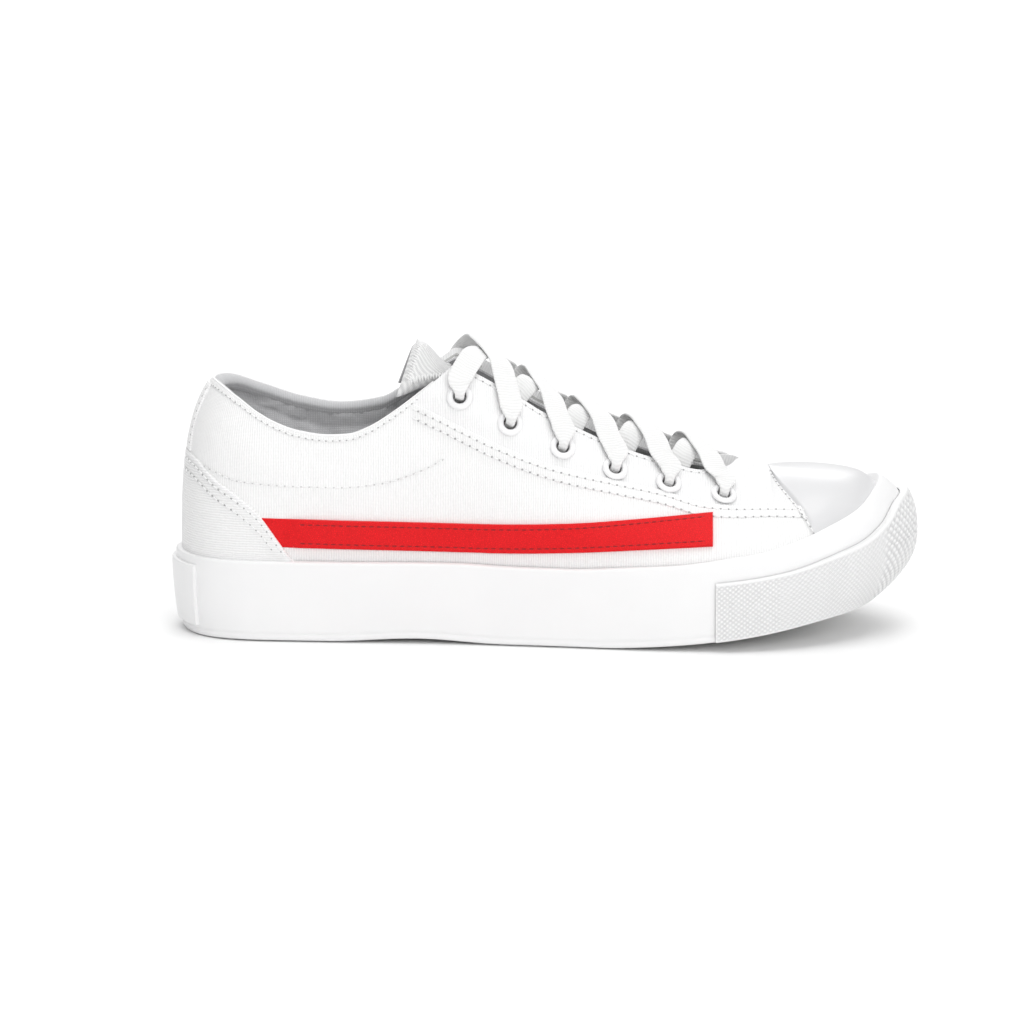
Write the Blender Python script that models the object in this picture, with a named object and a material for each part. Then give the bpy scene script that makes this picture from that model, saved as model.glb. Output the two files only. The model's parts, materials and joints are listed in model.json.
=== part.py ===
"""Low lace-up bowling shoe, right foot, built as separate closed pieces.

Frame: toe along +X, outer (lateral) side along -Y, up +Z, sole resting on Z = 0.
Working lengths are in millimetres and are turned into metres when a mesh is made.
"""
import bpy
import bmesh
import numpy as np
from math import cos, pi, radians, sin, sqrt
from mathutils import Matrix

MM = 0.001

# ---------------------------------------------------------------- overall sizes
SHOE_LENGTH = 287.0
SHOE_WIDTH = 106.0
COLLAR_HEIGHT = 97.0

# Lengths of the pattern that the curves below are drawn on.
PATTERN_LENGTH = 287.0
PATTERN_WIDTH = 106.0
PATTERN_HEIGHT = 97.0
KX = SHOE_LENGTH / PATTERN_LENGTH
KY = SHOE_WIDTH / PATTERN_WIDTH
KZ = COLLAR_HEIGHT / PATTERN_HEIGHT

# ---------------------------------------------------------------- thicknesses
CLEARANCE = 0.3
LAYER_GAP = 0.8
OVERLAY_GAP = 0.5
PLATE_GAP = 0.6
TOE_CAP_GAP = 0.75
CANVAS_THICKNESS = 1.2
OVERLAY_THICKNESS = 0.9
STRIPE_THICKNESS = 1.2
TOE_CAP_THICKNESS = 1.2
STIFFENER_THICKNESS = 1.0
LINING_THICKNESS = 0.8
COLLAR_FOAM_BULGE = 4.0
GRIP_THICKNESS = 0.8
FOXING_THICKNESS = 3.0
BUMPER_THICKNESS = 3.0
BUMPER_END_THICKNESS = 1.4
HEEL_PATCH_THICKNESS = 1.0
OUTSOLE_THICKNESS = 5.0
FILLER_THICKNESS = 4.0
INSOLE_BOARD_THICKNESS = 2.0
SOCKLINER_THICKNESS = 3.5
PAD_THICKNESS = 1.6
TONGUE_FACE_THICKNESS = 0.8
TONGUE_FOAM_THICKNESS = 3.0
BINDING_THICKNESS = 0.8
BINDING_DEPTH = 4.0

# ---------------------------------------------------------------- layer levels
# Distance from the outer face of the canvas, positive outwards.
OVERLAY_IN = OVERLAY_GAP
OVERLAY_OUT = OVERLAY_IN + OVERLAY_THICKNESS
STIFFENER_OUT = -CANVAS_THICKNESS - LAYER_GAP
STIFFENER_IN = STIFFENER_OUT - STIFFENER_THICKNESS
LINING_OUT = STIFFENER_IN - LAYER_GAP
LINING_IN = LINING_OUT - LINING_THICKNESS
GRIP_OUT = LINING_IN - LAYER_GAP
TOE_CAP_IN = TOE_CAP_GAP
FOXING_IN = OVERLAY_GAP
FOXING_OUT = FOXING_IN + FOXING_THICKNESS
BUMPER_IN = FOXING_OUT + PLATE_GAP
TONGUE_TOP = -10.3

# ---------------------------------------------------------------- lacing
EYELET_X = [110.8, 129.6, 149.4, 169.2, 189.6, 210.4]
EYELET_BORE_RADIUS = 2.5
EYELET_WALL = 0.5
EYELET_FLANGE_RADIUS = 5.0
EYELET_FLANGE_THICKNESS = 0.6
EYELET_ROLL_RADIUS = 3.5
LACE_WIDTH = 9.2
LACE_THICKNESS = 1.25
LACE_BUNCHED_WIDTH = 3.5
LACE_BUNCHED_THICKNESS = 1.8
AGLET_LENGTH = 22.0
AGLET_RADIUS = 1.6

# ---------------------------------------------------------------- throat and tongue
THROAT_HALF_WIDTH = 20.0
THROAT_FRONT_X = 216.0
THROAT_CORNER_X = 109.0
EYESTAY_START_X = 99.0
EYESTAY_LAST = 2.12
EYESTAY_FRONT_GAP = 4.0
EYESTAY_FRONT_SLOPE = 1.15
PADDING_FADE_X = 103.0
PADDING_FADE_LENGTH = 18.0
SEAM_START_X = 205.0
VAMP_WING_X = 212.0
TOE_PUFF_FIRST = 2.3
TOE_PUFF_HEIGHT = 0.72
TOE_CAP_CORNER = (2.0, 2.04, 2.08, 2.125, 2.165, 2.205)
TOE_CAP_FRONT_FIRST = 2.25
LINING_JOIN_X = 201.0
QUARTER_LAST = 1.997
VAMP_SIDE_LAST = 1.9985
TONGUE_ROOT_X = 230.0
TONGUE_END_X = 94.0
TONGUE_FLARE_X = 107.0
TONGUE_END_HEIGHT = 111.5
TONGUE_END_ARCH = 17.0
TONGUE_END_SWEEP = 6.0

# ---------------------------------------------------------------- poles of the two round ends
HEEL_POLE_X = 38.0
TOE_POLE_X = 229.0
REAR_SIDE_STEPS = 7
FRONT_SIDE_STEPS = 11
# The padded collar ends one column behind the throat corner.
COLLAR_PAD_END_X = THROAT_CORNER_X - (THROAT_CORNER_X - HEEL_POLE_X) / REAR_SIDE_STEPS
FACING_START_X = COLLAR_PAD_END_X + 1.2


def monotone(points, scale_in, scale_out):
    """Smooth curve through the points, never overshooting them."""
    xs = np.array([p[0] for p in points]) * scale_in
    ys = np.array([p[1] for p in points]) * scale_out
    steps = np.diff(xs)
    slopes = np.diff(ys) / steps
    tangents = np.zeros(len(xs))
    for i in range(1, len(xs) - 1):
        if slopes[i - 1] * slopes[i] > 0.0:
            w_before = 2.0 * steps[i] + steps[i - 1]
            w_after = steps[i] + 2.0 * steps[i - 1]
            tangents[i] = (w_before + w_after) / (w_before / slopes[i - 1] + w_after / slopes[i])
    tangents[0] = slopes[0]
    tangents[-1] = slopes[-1]

    def value(x):
        x = min(max(x, xs[0]), xs[-1])
        i = min(int(np.searchsorted(xs, x, side="right")) - 1, len(xs) - 2)
        u = (x - xs[i]) / steps[i]
        return float(
            ys[i] * (1.0 + 2.0 * u) * (1.0 - u) ** 2
            + tangents[i] * steps[i] * u * (1.0 - u) ** 2
            + ys[i + 1] * u * u * (3.0 - 2.0 * u)
            + tangents[i + 1] * steps[i] * u * u * (u - 1.0)
        )

    return value


# ---------------------------------------------------------------- pattern curves
SOLE_BOTTOM = monotone(
    [(-5, 0), (60, 0), (95, 1.4), (128, 0), (166, 0), (180, 0.6), (195, 1.8), (211, 3.6), (226, 6.2), (242, 9.7),
     (264, 15), (280, 21), (292, 26)],
    KX, KZ)
WALL_TOP = monotone([(0, 28), (150, 28.5), (195, 31), (226, 34), (250, 35), (292, 35)], KX, KZ)
FOXING_TOP = monotone(
    [(0, 30.4), (150, 30.4), (172, 31.5), (195, 33), (211, 35), (226, 37), (241, 41), (249, 44), (261, 49),
     (268.5, 54), (273, 56.5), (292, 58)], KX, KZ)
BUMPER_TOP = monotone(
    [(200, 26), (218, 28), (234, 30.7), (249, 35), (261, 38.7), (268, 43), (274, 48.5), (292, 52)], KX, KZ)
SPINE = monotone(
    [(0, 104), (38, 104), (63, 105), (85, 108), (100, 111), (109, 111), (118, 107), (126, 103), (134, 98),
     (141.5, 92.5), (151.5, 87), (165, 82), (184, 76), (203, 69.5), (216.5, 64.5), (226, 61.4), (232, 60.6),
     (292, 60)], KX, KZ)
CENTRE_LINE = monotone([(0, -1), (38, -1.5), (100, -4), (170, -3.2), (229, -1), (292, 5)], KX, KY)
FULLNESS = monotone([(0, 3.0), (63, 3.0), (110, 3.1), (130, 2.6), (150, 2.42), (170, 1.87), (191, 1.62), (212, 1.55),
                     (292, 1.55)], KX, 1.0)
COLLAR_LATERAL = monotone(
    [(0, 97), (17.3, 96), (26.2, 91.7), (33.8, 86.6), (41.5, 82.6), (49.2, 80), (60.8, 78.5), (68.5, 78.9),
     (76.2, 81.6), (83.8, 86.1), (97.3, 96), (109, 105)], KX, KZ)
COLLAR_MEDIAL = monotone(
    [(0, 97), (17.3, 96.5), (33.8, 90.3), (49.2, 84.8), (64.6, 82.3), (80, 84.2), (87.7, 88.5), (97.3, 96),
     (109, 105)], KX, KZ)
EYESTAY_LOW = monotone(
    [(89, 93), (103, 87), (126, 76), (141.5, 70), (165, 63.6), (188, 58), (203, 53.6), (218.5, 52), (235, 51.3),
     (250, 51.3)], KX, KZ)
PADDING_LOW = monotone([(0, 70), (12.7, 67), (28, 62), (49, 60.7), (65, 60.5), (80, 62), (95, 66.7), (111, 75.4)],
                       KX, KZ)
COUNTER_TOP = monotone([(0, 72), (10.8, 67.7), (18.5, 61), (26, 56), (34.6, 48.7), (41.5, 39.4), (48, 30)], KX, KZ)
SEAM = monotone([(211, 67), (218, 60), (224, 53), (229, 46), (240, 40)], KX, KZ)
STRIPE_MIDDLE = monotone([(30, 42), (120, 41), (205, 45)], KX, KZ)
TOE_TUCK = monotone([(0, 3.0), (30, 1.2), (200, 1.2), (250, 4.0), (280, 8.5), (292, 8.5)], KX, KX)

STRIPE_WIDTH = 11.0 * KZ
STRIPE_END_X = 206.0 * KX
BACKSTAY_LAST = 1.0 / 6.0
TOE_CAP_REAR_X = 229.0 * KX
TOE_CAP_SWEEP = 19.5 * KX
TOE_CAP_HALF_WIDTH = 41.0 * KY
BUMPER_REAR_X = 207.0 * KX

# Outer edge of the foxing seen from above, from the heel round the lateral side.
OUTLINE = [
    (1.3, -1), (8, -21), (25, -32), (60, -36), (100, -38.5), (140, -44), (180, -50.5), (205, -52.5), (230, -50),
    (253, -40), (270, -25), (280, -8), (283.3, 6), (280, 19), (268, 31.5), (248, 41), (225, 46), (200, 48),
    (170, 44.5), (135, 36), (100, 31), (70, 31.5), (40, 32), (20, 26.5), (7, 15),
]


def closed_spline(points, steps):
    """Closed Catmull-Rom curve, sampled evenly between the points."""
    pts = np.array(points, dtype=float)
    count = len(pts)
    out = []
    for i in range(count):
        p0, p1, p2, p3 = (pts[(i + k - 1) % count] for k in range(4))
        for j in range(steps):
            u = j / steps
            out.append(0.5 * (2 * p1 + (p2 - p0) * u + (2 * p0 - 5 * p1 + 4 * p2 - p3) * u * u
                              + (3 * p1 - p0 - 3 * p2 + p3) * u ** 3))
    return np.array(out)


def inset(loop, distance):
    """Move a closed anticlockwise loop inwards."""
    along = np.roll(loop, -1, axis=0) - np.roll(loop, 1, axis=0)
    along /= np.linalg.norm(along, axis=1)[:, None]
    inward = np.stack([-along[:, 1], along[:, 0]], axis=1)
    return loop + inward * distance


SKIN_LOOP = inset(closed_spline([(x * KX, y * KY) for x, y in OUTLINE], 12), FOXING_OUT)


def ray_length(start, direction):
    """Distance from a point inside the skin outline to the outline along a direction."""
    a = SKIN_LOOP - start
    b = np.roll(SKIN_LOOP, -1, axis=0) - start
    cross_a = direction[0] * a[:, 1] - direction[1] * a[:, 0]
    cross_b = direction[0] * b[:, 1] - direction[1] * b[:, 0]
    hits = np.nonzero(cross_a * cross_b <= 0.0)[0]
    best = 0.0
    for i in hits:
        share = cross_a[i] / (cross_a[i] - cross_b[i]) if cross_a[i] != cross_b[i] else 0.0
        point = a[i] + (b[i] - a[i]) * share
        best = max(best, float(point @ direction))
    return best


PROFILE_STEPS = 40
BEND_WEIGHT = 18.0


class Column:
    """One rising profile of the upper, from the sole bottom edge up to the centre line.

    place runs 0..1 round the heel, 1..2 along the side and 2..3 round the toe.
    """

    def __init__(self, side, place):
        self.side = side
        self.place = place
        heel_pole = HEEL_POLE_X * KX
        toe_pole = TOE_POLE_X * KX
        if place < 1.0:
            angle = place * pi / 2.0
            self.pole_x = heel_pole
            self.direction = np.array([-cos(angle), side * sin(angle)])
        elif place <= 2.0:
            self.pole_x = heel_pole + (place - 1.0) * (toe_pole - heel_pole)
            self.direction = np.array([0.0, float(side)])
        else:
            angle = (3.0 - place) * pi / 2.0
            self.pole_x = toe_pole
            self.direction = np.array([cos(angle), side * sin(angle)])
        self.pole = np.array([self.pole_x, CENTRE_LINE(self.pole_x)])
        self.radius = ray_length(self.pole, self.direction)
        rim_x = self.pole[0] + self.direction[0] * self.radius
        self.rim_x = rim_x
        self.bottom = SOLE_BOTTOM(rim_x)
        self.wall = WALL_TOP(rim_x)
        self.top = SPINE(self.pole_x)
        fullness = FULLNESS(self.pole_x)
        if place > 2.0:
            share = place - 2.0
            share = share * share * (3.0 - 2.0 * share)
            fullness += (3.0 - fullness) * share
        self.power = 2.0 / fullness
        self.tuck = TOE_TUCK(rim_x)
        self.table_t = np.linspace(-1.0, 1.0, 2 * PROFILE_STEPS + 1)
        pairs = np.array([self.radius_height(t) for t in self.table_t])
        self.table_r = pairs[:, 0]
        self.table_z = pairs[:, 1]
        spans = np.hypot(np.diff(self.table_r), np.diff(self.table_z))
        self.table_length = np.concatenate([[0.0], np.cumsum(spans)])
        heading = np.unwrap(np.arctan2(np.diff(self.table_z), -np.diff(self.table_r)))
        turning = np.abs(np.diff(heading, prepend=heading[0]))
        self.table_bend = np.concatenate([[0.0], np.cumsum(spans + BEND_WEIGHT * turning)])

    def radius_height(self, t):
        if t <= 0.0:
            return self.radius - self.tuck * t * t, self.wall + t * (self.wall - self.bottom)
        angle = t * pi / 2.0
        reach = max(cos(angle), 0.0) ** self.power
        rise = sin(angle) ** self.power
        return self.radius * reach, self.wall + (self.top - self.wall) * rise

    def point(self, t):
        r, z = self.radius_height(t)
        xy = self.pole + self.direction * r
        return np.array([xy[0], xy[1], z])

    def at_height(self, z):
        return float(np.interp(z, self.table_z, self.table_t))

    def at_radius(self, r):
        upper = PROFILE_STEPS
        return float(np.interp(-r, -self.table_r[upper:], self.table_t[upper:]))

    def at_curve(self, curve, shift=0.0):
        """Place on the profile where it meets a height curve drawn over X."""
        t = 0.0
        for _ in range(12):
            t = 0.5 * (t + self.at_height(curve(self.point(t)[0]) + shift))
        return t

    def moved(self, t, distance):
        """Place on the profile a given length above (or below) t."""
        length = float(np.interp(t, self.table_t, self.table_length)) + distance
        return float(np.interp(length, self.table_length, self.table_t))

    def spread(self, low, high, rows):
        """Row positions from low to high, closer together where the profile bends."""
        a = float(np.interp(low, self.table_t, self.table_bend))
        b = float(np.interp(high, self.table_t, self.table_bend))
        ts = np.interp(np.linspace(a, b, rows + 1), self.table_bend, self.table_t)
        ts[0] = low
        ts[-1] = high
        return ts


COLUMNS = {}


def column(side, place):
    key = (side, round(place, 6))
    if key not in COLUMNS:
        COLUMNS[key] = Column(side, place)
    return COLUMNS[key]


def place_of_x(x):
    """Column number on the straight part of the side at a given X."""
    heel_pole = HEEL_POLE_X * KX
    toe_pole = TOE_POLE_X * KX
    return 1.0 + (x - heel_pole) / (toe_pole - heel_pole)


NORMAL_STEP = 0.004


def normal(side, place, t):
    """Outward unit normal of the skin."""
    if t > 0.999:
        slope = (SPINE(column(side, place).pole_x + 1.0) - SPINE(column(side, place).pole_x - 1.0)) / 2.0
        up = np.array([-slope, 0.0, 1.0])
        return up / np.linalg.norm(up)
    before = column(side, max(place - NORMAL_STEP, 0.0)).point(t)
    after = column(side, min(place + NORMAL_STEP, 3.0)).point(t)
    if place < NORMAL_STEP:
        before = column(-side, NORMAL_STEP).point(t)
    if place > 3.0 - NORMAL_STEP:
        after = column(-side, 3.0 - NORMAL_STEP).point(t)
    here = column(side, place)
    lower = here.point(max(t - 0.01, -1.0))
    upper = here.point(min(t + 0.01, 1.0))
    out = np.cross(after - before, upper - lower) * -side
    return out / np.linalg.norm(out)


def skin(side, place, t, level):
    """Point at a level above (positive) or below the canvas face."""
    return column(side, place).point(t) + normal(side, place, t) * level


# ---------------------------------------------------------------- materials
def material(name, colour, roughness, metallic=0.0):
    found = bpy.data.materials.get(name)
    if found:
        return found
    made = bpy.data.materials.new(name)
    made.use_nodes = True
    shader = made.node_tree.nodes["Principled BSDF"]
    shader.inputs["Base Color"].default_value = (*colour, 1.0)
    shader.inputs["Roughness"].default_value = roughness
    shader.inputs["Metallic"].default_value = metallic
    return made


def canvas():
    return material("cotton_canvas", (0.80, 0.80, 0.79), 0.9)


def lining_cloth():
    return material("lining_cloth", (0.66, 0.66, 0.66), 0.95)


def white_rubber():
    return material("white_rubber", (0.82, 0.82, 0.81), 0.5)


def toe_rubber():
    return material("smooth_toe_covering", (0.74, 0.74, 0.74), 0.6)


def red_leather():
    return material("red_leather", (0.50, 0.02, 0.03), 0.45)


def foam():
    return material("foam", (0.80, 0.78, 0.70), 1.0)


def fibreboard():
    return material("fibreboard", (0.55, 0.45, 0.32), 0.9)


def metal_white():
    return material("painted_metal", (0.78, 0.78, 0.77), 0.35, 0.2)


def lace_cotton():
    return material("lace_cotton", (0.84, 0.84, 0.83), 0.9)


def pad_fabric():
    return material("slide_microfibre", (0.60, 0.60, 0.58), 0.95)


# ---------------------------------------------------------------- mesh making
WELD = 1.0e-6


def place_object(name, points, faces, paint, smooth=35.0):
    """Make one closed object from points in millimetres."""
    mesh = bpy.data.meshes.new(name)
    centre = np.array([SHOE_LENGTH / 2.0, 0.0, 0.0])
    moved = (np.array(points) - centre) * MM
    mesh.from_pydata([tuple(p) for p in moved], [], [tuple(f) for f in faces])
    work = bmesh.new()
    work.from_mesh(mesh)
    bmesh.ops.remove_doubles(work, verts=work.verts[:], dist=WELD)
    bmesh.ops.dissolve_degenerate(work, edges=work.edges[:], dist=WELD)
    bmesh.ops.recalc_face_normals(work, faces=work.faces[:])
    work.to_mesh(mesh)
    work.free()
    made = bpy.data.objects.new(name, mesh)
    bpy.context.scene.collection.objects.link(made)
    mesh.materials.append(paint)
    mesh.shade_smooth()
    mesh.set_sharp_from_angle(angle=radians(smooth))
    return made


def level_of(rule, side, place, t, share):
    return rule(side, place, t, share) if callable(rule) else rule


def shell(name, places, low, high, outer, inner, rows, paint, ring=False):
    """Closed sheet between two levels above the skin.

    places lists (side, place); low and high give the lower and upper edge on a profile.
    """
    points = []
    tops = []
    for side, place in places:
        low_t = low(side, place)
        high_t = max(high(side, place), low_t + 1.0e-4)
        tops.append(high_t > 0.999)
        for j, t in enumerate(column(side, place).spread(low_t, high_t, rows)):
            base = column(side, place).point(t)
            out = normal(side, place, t)
            share = j / rows
            points.append(base + out * level_of(outer, side, place, t, share))
            points.append(base + out * level_of(inner, side, place, t, share))
    count = len(places)
    stride = 2 * (rows + 1)

    def at(i, j, layer):
        return (i % count) * stride + 2 * j + layer

    faces = []
    for i in range(count if ring else count - 1):
        for j in range(rows):
            faces.append([at(i, j, 0), at(i + 1, j, 0), at(i + 1, j + 1, 0), at(i, j + 1, 0)])
            faces.append([at(i, j, 1), at(i, j + 1, 1), at(i + 1, j + 1, 1), at(i + 1, j, 1)])
        faces.append([at(i, 0, 0), at(i, 0, 1), at(i + 1, 0, 1), at(i + 1, 0, 0)])
        if not (tops[i] and tops[(i + 1) % count]):
            faces.append([at(i, rows, 0), at(i + 1, rows, 0), at(i + 1, rows, 1), at(i, rows, 1)])
    if not ring:
        for i in (0, count - 1):
            for j in range(rows):
                faces.append([at(i, j, 0), at(i, j + 1, 0), at(i, j + 1, 1), at(i, j, 1)])
    return place_object(name, points, faces, paint)


def shared_places():
    """Columns that every layer uses, so that facets of neighbouring layers stay parallel."""
    heel = list(np.linspace(0.0, 1.0, 7))
    corner = place_of_x(THROAT_CORNER_X * KX)
    side = list(np.linspace(1.0, corner, REAR_SIDE_STEPS + 1))[1:]
    side += list(np.linspace(corner, 2.0, FRONT_SIDE_STEPS + 1))[1:]
    toe = list(np.linspace(2.0, 3.0, 9))[1:]
    return [float(p) for p in heel + side + toe]


SHARED_PLACES = shared_places()
LEAST_STEP = 0.012


def span(side, first, last):
    """Columns from one place to a later one: the two ends and the shared ones between."""
    between = [p for p in SHARED_PLACES if first + LEAST_STEP < p < last - LEAST_STEP]
    return [(side, p) for p in [first] + between + [last]]


def heel_wrap(last):
    """From the lateral side round the heel to the medial side."""
    medial = span(1, 0.0, last)
    return [(-1, place) for _, place in reversed(medial)] + medial[1:]


def toe_wrap(first):
    """From the lateral side round the toe to the medial side."""
    lateral = span(-1, first, 3.0)
    return lateral + [(1, place) for _, place in reversed(lateral)][1:]


def full_ring():
    lateral = span(-1, 0.0, 3.0)
    return lateral + [(1, place) for _, place in reversed(lateral)][1:-1]


# ---------------------------------------------------------------- edges on the profiles
UPPER_FLOOR = OUTSOLE_THICKNESS + CLEARANCE


def floor_edge(side, place):
    here = column(side, place)
    return here.at_height(here.bottom + UPPER_FLOOR)


def above_foxing(side, place):
    return column(side, place).at_curve(FOXING_TOP, CLEARANCE)


def collar_curve(side):
    return COLLAR_LATERAL if side < 0 else COLLAR_MEDIAL


def throat_half_width(x):
    front = THROAT_FRONT_X * KX
    radius = THROAT_HALF_WIDTH * KY
    past = x - (front - radius)
    if past <= 0.0:
        return radius
    return sqrt(max(radius * radius - past * past, 0.0))


def top_edge(side, place):
    """Collar line behind the throat corner, throat edge in front of it."""
    here = column(side, place)
    if place <= place_of_x(THROAT_CORNER_X * KX):
        return here.at_curve(collar_curve(side))
    if here.pole_x >= THROAT_FRONT_X * KX:
        return 1.0
    return here.at_radius(throat_half_width(here.pole_x))


def seam_edge(side, place, shift):
    return column(side, place).at_curve(SEAM, shift)


def quarter_top(side, place):
    edge = top_edge(side, place)
    if column(side, place).pole_x > SEAM_START_X * KX:
        edge = min(edge, seam_edge(side, place, -2.0 * CLEARANCE))
    return max(edge, floor_edge(side, place))


def vamp_low(side, place):
    if place >= 2.0:
        return floor_edge(side, place)
    edge = max(seam_edge(side, place, 2.0 * CLEARANCE), floor_edge(side, place))
    return min(edge, top_edge(side, place))


def toe_cap_rear(sweep_start):
    """Lower edge rule of a toe piece whose rear edge sweeps forward at the sides."""

    def rule(side, place):
        here = column(side, place)
        base = above_foxing(side, place)
        for t in np.linspace(base, 1.0, 80):
            spot = here.point(t)
            across = (spot[1] - here.pole[1]) / TOE_CAP_HALF_WIDTH
            if spot[0] >= sweep_start + TOE_CAP_SWEEP * across * across:
                return float(t)
        return 1.0

    return rule


def whole_top(side, place):
    return 1.0


# ---------------------------------------------------------------- lining shape
def fade(value):
    value = min(max(value, 0.0), 1.0)
    return value * value * (3.0 - 2.0 * value)


def foam_bulge(side, place, t):
    """Extra depth of the padded collar."""
    spot = column(side, place).point(t)
    low = PADDING_LOW(spot[0])
    high = collar_curve(side)(spot[0]) - BINDING_DEPTH - 4.0
    if spot[2] <= low or spot[2] >= high:
        return 0.0
    reach = fade((PADDING_FADE_X * KX - spot[0]) / PADDING_FADE_LENGTH)
    return COLLAR_FOAM_BULGE * sin(pi * (spot[2] - low) / (high - low)) * reach


def lining_out(side, place, t, share):
    return LINING_OUT - foam_bulge(side, place, t)


def lining_in(side, place, t, share):
    return LINING_IN - foam_bulge(side, place, t)


def foam_in(side, place, t, share):
    return STIFFENER_IN - foam_bulge(side, place, t)


# ---------------------------------------------------------------- upper
def build_quarters():
    for side, label in ((-1, "lateral"), (1, "medial")):
        places = span(side, 0.012, QUARTER_LAST)
        shell("quarter_" + label, places, floor_edge, quarter_top, 0.0, -CANVAS_THICKNESS, 7, canvas())


def build_vamp():
    wing = span(-1, place_of_x(VAMP_WING_X * KX), VAMP_SIDE_LAST)
    places = wing + toe_wrap(2.0) + [(1, place) for _, place in reversed(wing)]
    shell("vamp", places, vamp_low, top_edge, 0.0, -CANVAS_THICKNESS, 6, canvas())
    lining_places = toe_wrap(place_of_x(LINING_JOIN_X * KX) + 0.003)
    shell("vamp_lining", lining_places, floor_edge, top_edge, LINING_OUT, LINING_IN, 6, lining_cloth())


def build_toe():
    cap_places = [(-1, p) for p in TOE_CAP_CORNER] + toe_wrap(TOE_CAP_FRONT_FIRST)
    cap_places += [(1, p) for p in reversed(TOE_CAP_CORNER)]
    rear = toe_cap_rear(TOE_CAP_REAR_X)
    shell("toe_cap", cap_places, rear, whole_top, TOE_CAP_IN, TOE_CAP_IN + TOE_CAP_THICKNESS, 7, toe_rubber())

    def puff_high(side, place):
        return TOE_PUFF_HEIGHT

    shell("toe_puff", toe_wrap(TOE_PUFF_FIRST), floor_edge, puff_high, STIFFENER_OUT, STIFFENER_IN, 5, fibreboard())


def build_eyestays():
    def low(side, place):
        return column(side, place).at_curve(EYESTAY_LOW)

    def high(side, place):
        here = column(side, place)
        if here.pole_x < THROAT_CORNER_X * KX:
            return max(here.moved(top_edge(side, place), -BINDING_DEPTH - 2.2), low(side, place) + 0.004)
        if here.pole_x < THROAT_FRONT_X * KX - 1.0:
            return top_edge(side, place)
        rear = toe_cap_rear(TOE_CAP_REAR_X)(side, place)
        past = here.pole_x - (THROAT_FRONT_X * KX - 1.0)
        drop = here.at_radius(EYESTAY_FRONT_GAP * KY + EYESTAY_FRONT_SLOPE * past)
        return max(min(drop, here.moved(rear, -CLEARANCE) if rear < 0.99 else 1.0), low(side, place) + 0.004)

    for side, label in ((-1, "lateral"), (1, "medial")):
        places = span(side, place_of_x(EYESTAY_START_X * KX), EYESTAY_LAST)
        shell("eyestay_" + label, places, low, high, OVERLAY_IN, OVERLAY_OUT, 6, canvas())

        def facing_low(side, place):
            here = column(side, place)
            return here.moved(top_edge(side, place), -17.0)

        places = span(side, place_of_x(FACING_START_X * KX), place_of_x((THROAT_FRONT_X - 4.0) * KX))
        shell("eyelet_facing_" + label, places, facing_low, top_edge, STIFFENER_OUT, STIFFENER_IN, 2, foam())


def build_heel_pieces():
    def counter_high(side, place):
        edge = column(side, place).at_curve(COUNTER_TOP)
        return max(edge, above_foxing(side, place) + 0.004)

    shell("heel_counter_cover", heel_wrap(1.045), above_foxing, counter_high, OVERLAY_IN, OVERLAY_OUT, 5,
          canvas())

    def backstay_low(side, place):
        here = column(side, place)
        return here.moved(counter_high(side, place), CLEARANCE)

    def backstay_high(side, place):
        return column(side, place).moved(top_edge(side, place), -BINDING_DEPTH - 1.0)

    shell("heel_backstay", heel_wrap(BACKSTAY_LAST), backstay_low, backstay_high, OVERLAY_IN, OVERLAY_OUT, 4,
          canvas())

    def stiff_high(side, place):
        here = column(side, place)
        return min(here.at_curve(PADDING_LOW, -3.0), here.at_height(57.0 * KZ))

    shell("heel_stiffener", heel_wrap(1.16), floor_edge, stiff_high, STIFFENER_OUT, STIFFENER_IN, 5,
          fibreboard())

    def foam_low(side, place):
        return column(side, place).at_curve(PADDING_LOW, CLEARANCE)

    collar_last = place_of_x(COLLAR_PAD_END_X * KX)
    shell("collar_foam", heel_wrap(collar_last), foam_low, top_edge, STIFFENER_OUT, foam_in, 5, foam())
    shell("collar_lining", heel_wrap(collar_last), foam_low, top_edge, lining_out, lining_in, 5, lining_cloth())

    def lining_high(side, place):
        if place <= collar_last + 0.002:
            return column(side, place).at_curve(PADDING_LOW, -CLEARANCE)
        return top_edge(side, place)

    lining_places = heel_wrap(collar_last + 0.002)
    ahead = [p for _, p in span(1, collar_last + 0.006, place_of_x(LINING_JOIN_X * KX))]
    lining_places = [(-1, p) for p in reversed(ahead)] + lining_places + [(1, p) for p in ahead]
    shell("quarter_lining", lining_places, floor_edge, lining_high, LINING_OUT, LINING_IN, 6, lining_cloth())

    def grip_low(side, place):
        here = column(side, place)
        return here.at_height(here.bottom + 24.0)

    def grip_high(side, place):
        return column(side, place).at_curve(PADDING_LOW, -2.0)

    shell("heel_grip", heel_wrap(0.93), grip_low, grip_high, GRIP_OUT, GRIP_OUT - GRIP_THICKNESS, 4, lining_cloth())


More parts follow.
